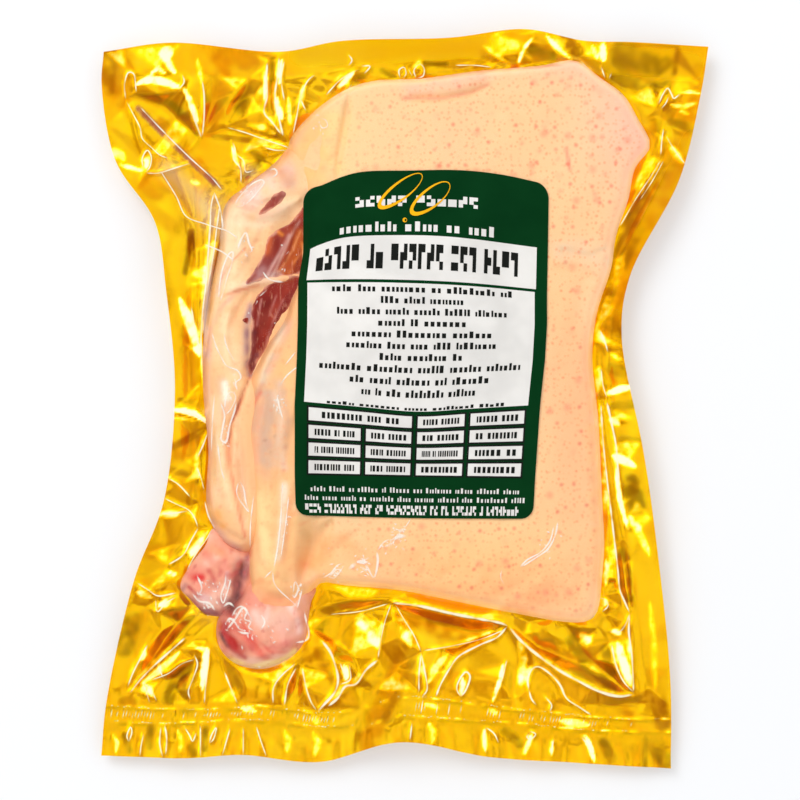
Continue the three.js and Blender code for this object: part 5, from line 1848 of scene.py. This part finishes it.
def label_ink(name, colour):
    finish = Finish(name)
    wash = finish.noise(14)
    ink = finish.colour_mix(wash.step(0.3, 0.7), colour, [min(255, 1.05 * c + 2) for c in colour])
    return finish.done(
        finish.surface(
            Base_Color=ink,
            Roughness=0.45,
            Specular_IOR_Level=0.04,
            Normal=finish.bump(finish.noise(2), 0.15, 0.2),
        )
    )


# Label

# Lines across the label, from its bottom edge to its top: share of its height, then pixels from the left
LABEL_LINES = [
    (0, (297, 514), (414, 517), (532, 518)),
    (0.117, (296, 475), (355, 476), (414, 477), (534, 479)),
    (0.34, (296, 403), (360, 409), (418, 414), (470, 411), (539, 407)),
    (0.48, (298, 358), (420, 364), (544, 360)),
    (0.6, (299, 322), (420, 324), (546, 326)),
    (0.724, (299, 283), (340, 282.5), (400, 283), (470, 286), (546, 293)),
    (0.83, (304, 254), (320, 246), (345, 238.5), (400, 236), (450, 237.5), (547, 249)),
    (1, (304, 191), (320, 188), (342, 179), (362, 174), (410, 172.5), (460, 172), (500, 176), (548, 186)),
]
LABEL_STATIONS = 81
LABEL_ROUNDING = 5
LABEL_CELL = 1.5
label_top = np.maximum(film_top, blur(film_top, 5)) + 0.35


def on_label(across, up):
    """Plan place on the label, from shares of its width and height"""
    stations = np.linspace(0, 1, LABEL_STATIONS)
    levels = []
    for share, *pixels in LABEL_LINES:
        line = curve(plan(pixels), LABEL_STATIONS)
        levels.append((share, np.stack([np.interp(across, stations, line[:, i]) for i in (0, 1)], -1)))
    place = levels[0][1]
    for (low, lower), (high, upper) in zip(levels, levels[1:]):
        beyond = np.clip((np.asarray(up) - low) / (high - low), 0, 1)[..., None]
        place = np.where(beyond > 0, mix(lower, upper, beyond), place)
    return place[..., 0], place[..., 1]


class Print:
    """Flat printed shapes on the label, gathered into one piece"""

    def __init__(self, lift):
        self.lift = lift
        self.places = []
        self.faces = []

    def add(self, across, up, faces):
        x, y = on_label(across, up)
        start = sum(len(block) for block in self.places)
        self.places.append(np.stack([x, y, sample(label_top, x, y) + self.lift], -1).reshape(-1, 3))
        self.faces += [[i + start for i in face] for face in faces]

    def patch(self, left, bottom, right, top, tilt=0):
        """A rectangle in shares of the label, bent over it in cells"""
        columns = max(1, round((right - left) * LABEL_SIZE[0] / LABEL_CELL))
        rows = max(1, round((top - bottom) * LABEL_SIZE[1] / LABEL_CELL))
        across, up = np.meshgrid(np.linspace(left, right, columns + 1), np.linspace(bottom, top, rows + 1))
        self.add(across, up + tilt * (across - left), grid_faces(rows + 1, columns + 1))

    def mosaic(self, line, lengths, seed):
        """Blocks in place of large lettering: each two cells wide and three high, with some left out"""
        middle, foot, width, height = line
        rng = random.Random(seed)
        pitch = width / (sum(lengths) + WORD_GAP * (len(lengths) - 1))
        x = middle - width / 2
        for length in lengths:
            for _ in range(length):
                for cell in rng.sample(range(6), 4):
                    left, low = x + 0.4 * pitch * (cell % 2), foot + height / 3 * (cell // 2)
                    self.patch(left, low, left + 0.4 * pitch, low + height / 3)
                x += pitch
            x += WORD_GAP * pitch

    def words(self, line, seed, letter=0.0215, lengths=(), plain=False, fill=0.62):
        """A line of blocks in place of lettering, scaled to its width

        The words have the given lengths, or random ones for letters of about the given width.
        """
        middle, foot, width, height = line
        rng = random.Random(seed)
        left_over = list(lengths)
        blocks, x = [], 0
        while left_over or (not lengths and x * letter < width * 0.93):
            for _ in range(left_over.pop(0) if lengths else rng.randint(2, 9)):
                wide = rng.uniform(0.6, 1.2)
                tall = 1 if plain else rng.choice((0.7, 0.7, 0.7, 1))
                blocks.append((x, x + wide * fill, tall))
                x += wide
            x += 0.8
        scale = width / blocks[-1][1]
        start = middle - width / 2
        for left, right, tall in blocks:
            self.patch(start + left * scale, foot, start + right * scale, foot + tall * height)

    def ring(self, middle, size, thickness, tilt):
        """A tilted oval, thinnest on its right as if drawn with a pen"""
        turn = np.linspace(0, 2 * math.pi, 49)[:-1]
        cos, sin = math.cos(math.radians(tilt)), math.sin(math.radians(tilt))
        rims = []
        for inward in (0, thickness * (0.6 - 0.4 * np.cos(turn))):
            x, y = (size[0] - inward) * np.cos(turn), (size[1] - inward * 0.74) * np.sin(turn)
            rims.append((middle[0] + x * cos - y * sin, middle[1] + (x * sin + y * cos) * 0.9))
        count = len(turn)
        faces = [[i, (i + 1) % count, count + (i + 1) % count, count + i] for i in range(count)]
        self.add(*np.concatenate(rims, 1), faces)

    def frame(self, left, bottom, right, top, thickness):
        """The border of a rectangle"""
        tall = thickness * LABEL_SIZE[0] / LABEL_SIZE[1]
        self.patch(left, bottom, right, bottom + tall)
        self.patch(left, top - tall, right, top)
        self.patch(left, bottom + tall, left + thickness, top - tall)
        self.patch(right - thickness, bottom + tall, right, top - tall)

    def piece(self, name):
        return make_mesh(name, np.vstack(self.places), self.faces)


def make_label_sheet():
    """The blank label: a grid whose square corners are drawn in to round ones"""
    columns, rows = (round(size / LABEL_CELL) for size in LABEL_SIZE)
    across, up = np.meshgrid(np.linspace(0, 1, columns + 1), np.linspace(0, 1, rows + 1))
    corner_x, corner_y = (LABEL_ROUNDING / size for size in LABEL_SIZE)
    side_x, side_y = np.sign(across - 0.5), np.sign(up - 0.5)
    beyond_x = np.maximum(0, np.abs(across - 0.5) - 0.5 + corner_x) / corner_x
    beyond_y = np.maximum(0, np.abs(up - 0.5) - 0.5 + corner_y) / corner_y
    over = np.hypot(beyond_x, beyond_y)
    square = np.maximum(beyond_x, beyond_y)
    shrink = np.where(over > 0, square / np.maximum(over, 1e-9), 1)
    across = np.where(beyond_x > 0, 0.5 + side_x * (0.5 - corner_x + beyond_x * shrink * corner_x), across)
    up = np.where(beyond_y > 0, 0.5 + side_y * (0.5 - corner_y + beyond_y * shrink * corner_y), up)
    x, y = on_label(across, up)
    places = np.stack([x, y, sample(label_top, x, y)], -1).reshape(-1, 3)
    return make_mesh("label_sheet", places, grid_faces(*x.shape))


# Panels as left, bottom, right and top, in shares of the label
TITLE_PANEL = (0.034, 0.7285, 0.955, 0.828)
TEXT_PANEL = (0.038, 0.347, 0.95, 0.7205)
TABLE_TOP = 0.337
TABLE_ROW = 0.055
TABLE_GAP = 0.004
TABLE_COLUMNS = [(0.05, 0.277), (0.285, 0.485), (0.495, 0.7), (0.71, 0.945)]
TABLE_FRAME = 0.007

# Lines of print as middle, foot, width and height, in the same shares
HEADING = (0.471, 0.905, 0.5, 0.028)
SUBHEADING = (0.469, 0.838, 0.62, 0.026)
TITLE = (0.477, 0.753, 0.82, 0.056)
TEXT_WIDTHS = [0.72, 0.33, 0.68, 0.35, 0.56, 0.6, 0.33, 0.81, 0.56, 0.46]
TEXT = [(0.497, 0.693 - 0.0343 * number, width, 0.021) for number, width in enumerate(TEXT_WIDTHS)]
TEXT_END = (0.49, 0.349, 0.72, 0.01)
SMALL_PRINT = [(0.5, 0.073, 0.87, 0.015), (0.5, 0.047, 0.92, 0.015)]
FOOT_LINE = (0.49, 0.009, 0.9, 0.027)

# Letters in each word of a line
HEADING_WORDS = [5, 6]
SUBHEADING_WORDS = [9, 5, 2, 4]
TITLE_WORDS = [5, 2, 6, 3, 4]
FOOT_WORDS = [4, 8, 3, 2, 10, 2, 2, 6, 1, 8]
WORD_GAP = 0.7

# The ornament's ovals: middle and half sizes
RINGS = [((0.4, 0.945), (0.1, 0.03)), ((0.52, 0.925), (0.09, 0.032))]
DOT = ((0.42, 0.868), (0.009, 0.007))


def table_cells():
    """The small boxes at the foot of the label, as rectangles in shares of it"""
    for row in range(4):
        top = TABLE_TOP - row * TABLE_ROW
        columns = TABLE_COLUMNS if row else [(0.05, 0.485), *TABLE_COLUMNS[2:]]
        for left, right in columns:
            yield left, top - TABLE_ROW + TABLE_GAP, right, top


def make_panels():
    white = Print(lift=0.12)
    for panel in (TITLE_PANEL, TEXT_PANEL, *table_cells()):
        white.patch(*panel)
    for seed, line in enumerate(SMALL_PRINT, 3):
        white.words(line, seed, letter=0.0135, fill=0.5)
    white.mosaic(FOOT_LINE, FOOT_WORDS, seed=5)
    white.mosaic(HEADING, HEADING_WORDS, seed=6)
    white.words(SUBHEADING, seed=7, lengths=SUBHEADING_WORDS)
    return white.piece("label_white_print")


def make_dark_print():
    dark = Print(lift=0.2)
    dark.mosaic(TITLE, TITLE_WORDS, seed=8)
    for seed, line in enumerate(TEXT, 20):
        dark.words(line, seed)
    dark.words(TEXT_END, seed=30)
    for number, (left, bottom, right, top) in enumerate(table_cells()):
        line = ((left + right) / 2, bottom + 0.015, (right - left) * 0.72, 0.02)
        dark.words(line, seed=50 + number, letter=0.018, plain=True)
        dark.frame(left, bottom, right, top, TABLE_FRAME)
    return dark.piece("label_dark_print")


def make_ornament():
    gold = Print(lift=0.28)
    for middle, size in RINGS:
        gold.ring(middle, size, thickness=0.016, tilt=28)
    gold.ring(*DOT, thickness=0.0089, tilt=0)
    return gold.piece("label_gold_print")


# The scene


def finish_piece(piece, material, node):
    piece.data.materials.append(material)
    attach(piece, "root")
    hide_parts(node)


def add_floor():
    bpy.ops.mesh.primitive_plane_add(size=6, location=(0, 0, -0.0005))
    floor = bpy.context.object
    floor.name = "floor"
    finish = Finish("floor")
    white = finish.surface(
        Base_Color=(0.56, 0.575, 0.6, 1),
        Roughness=0.8,
        Emission_Color=(1, 1, 1, 1),
        Emission_Strength=0.33,
    )
    floor.data.materials.append(finish.done(white))


def add_softbox(name, place, size, power):
    light = bpy.data.lights.new(name, "AREA")
    light.shape = "RECTANGLE"
    light.size, light.size_y = size
    light.energy = power
    lamp = bpy.data.objects.new(name, light)
    lamp.location = place
    lamp.rotation_euler = (Vector((0, 0, 0)) - Vector(place)).to_track_quat("-Z", "Y").to_euler()
    lamp.visible_glossy = False
    bpy.context.scene.collection.objects.link(lamp)


def studio_world():
    """An uneven overhead sky, darker and warmer in patches, for the foil to mirror"""
    finish = Finish("studio", "worlds")
    direction = finish.node("ShaderNodeTexCoord")
    up = finish.node("ShaderNodeSeparateXYZ", {}, {"Vector": direction}, output=2)
    inputs = {"Vector": direction, "Scale": 4.2, "Detail": 1.5, "Roughness": 0.5}
    patches = finish.node("ShaderNodeTexNoise", {}, inputs)
    bright = patches.step(0.39, 0.49)
    hot = patches.step(0.6, 0.64)
    zenith = up.step(0.975, 0.998)
    strength = (0.63 + 0.52 * bright + 0.4 * hot) * (1 - zenith) + 1.13 * zenith
    strength = strength * (0.6 + 0.4 * up.step(0.1, 0.7))
    tint = finish.colour_mix(bright, (255, 224, 184), (246, 251, 255))
    tint = finish.colour_mix(hot, tint, (215, 235, 255))
    return finish.done(
        finish.node("ShaderNodeBackground", {}, {"Color": tint, "Strength": strength}),
        "ShaderNodeOutputWorld",
    )


def add_studio():
    bpy.context.scene.world = studio_world()
    add_softbox("softbox", (-0.8, 1.0, 1.6), (1.0, 1.0), 18)
    bpy.context.scene.view_settings.view_transform = "Standard"


def add_camera():
    """Straight down, with the photograph's scale at the level of the pouch's rim"""
    lens = bpy.data.cameras.new("camera")
    lens.sensor_width = 36
    height, level, width = 1.7, 0.012, PICTURE * PIXEL * MM
    lens.lens = lens.sensor_width * (height - level) / width
    camera = bpy.data.objects.new("camera", lens)
    x, y = plan((PICTURE / 2, PICTURE / 2)) * MM
    camera.location = (x, y, height)
    bpy.context.scene.collection.objects.link(camera)
    bpy.context.scene.camera = camera


add_camera()
add_studio()
add_floor()

foil_masks = {"machine_seal": machine_seal(), "glow": foil_glow(), "smooth": smooth_foil}
foil = make_sheet("gold_foil_sheet", foil_top, foil_colours(), **foil_masks)
finish_piece(foil, gold_foil(), "gold_foil_back")
folds = make_ribbons("foil_fold_highlights", GLINTS + seal_dashes(), foil_top)
finish_piece(folds, fold_shine("foil_shine", (255, 248, 220), 1.1), "gold_foil_back")

skin = duck_skin()
pores = mix(SHANK_PORES, 1, soft(-40, 10, X)) * soft(1, 6, front_depth)
# painted light: a faint glow of the skin's own colour along the thigh's rim
rim = soft(3.8, 1.6, front_depth) * soft(-44, -34, X)
front = make_body("leg_front", front_top, front_depth, MEAT_CELL, front_leg_colours(), pores=pores, rim=rim)
finish_piece(front, skin, "clear_bag")
pores = SHANK_PORES * soft(1, 4, back_depth)
back = make_body("leg_back", back_top, back_depth, MEAT_CELL, back_leg_colours(), pores=pores)
finish_piece(back, skin, "clear_bag")

muscle = make_body("bare_muscle", muscle_top, muscle_depth, KNUCKLE_CELL, muscle_colours())
finish_piece(muscle, bare_flesh(), "clear_bag")
knuckle_material = knuckle_flesh()
knuckles = (
    ("knuckle_front", front_knuckle_top, front_knuckle_depth),
    ("knuckle_back", back_knuckle_top, back_knuckle_depth),
)
for name, top, depth in knuckles:
    knuckle = make_body(name, top, depth, KNUCKLE_CELL, knuckle_colours())
    finish_piece(knuckle, knuckle_material, "clear_bag")

film = make_sheet("clear_film", film_top, haze=film_haze())
finish_piece(film, clear_film(), "clear_bag")
wrinkles = make_ribbons("film_wrinkle_highlights", FILM_WRINKLE_HIGHLIGHTS + wet_glints(), film_top)
finish_piece(wrinkles, fold_shine("film_shine", (255, 251, 243), 0.9), "clear_bag")

label_pieces = (
    (make_label_sheet(), label_ink("label_green", (0, 48, 18)), "label_green"),
    (make_panels(), label_ink("label_white", (214, 212, 209)), "label_white"),
    (make_dark_print(), label_ink("label_dark", (22, 24, 22)), "label_green"),
    (make_ornament(), label_ink("label_gold", (230, 168, 20)), "label_gold"),
)
for piece, ink, slot in label_pieces:
    finish_piece(piece, ink, "label")
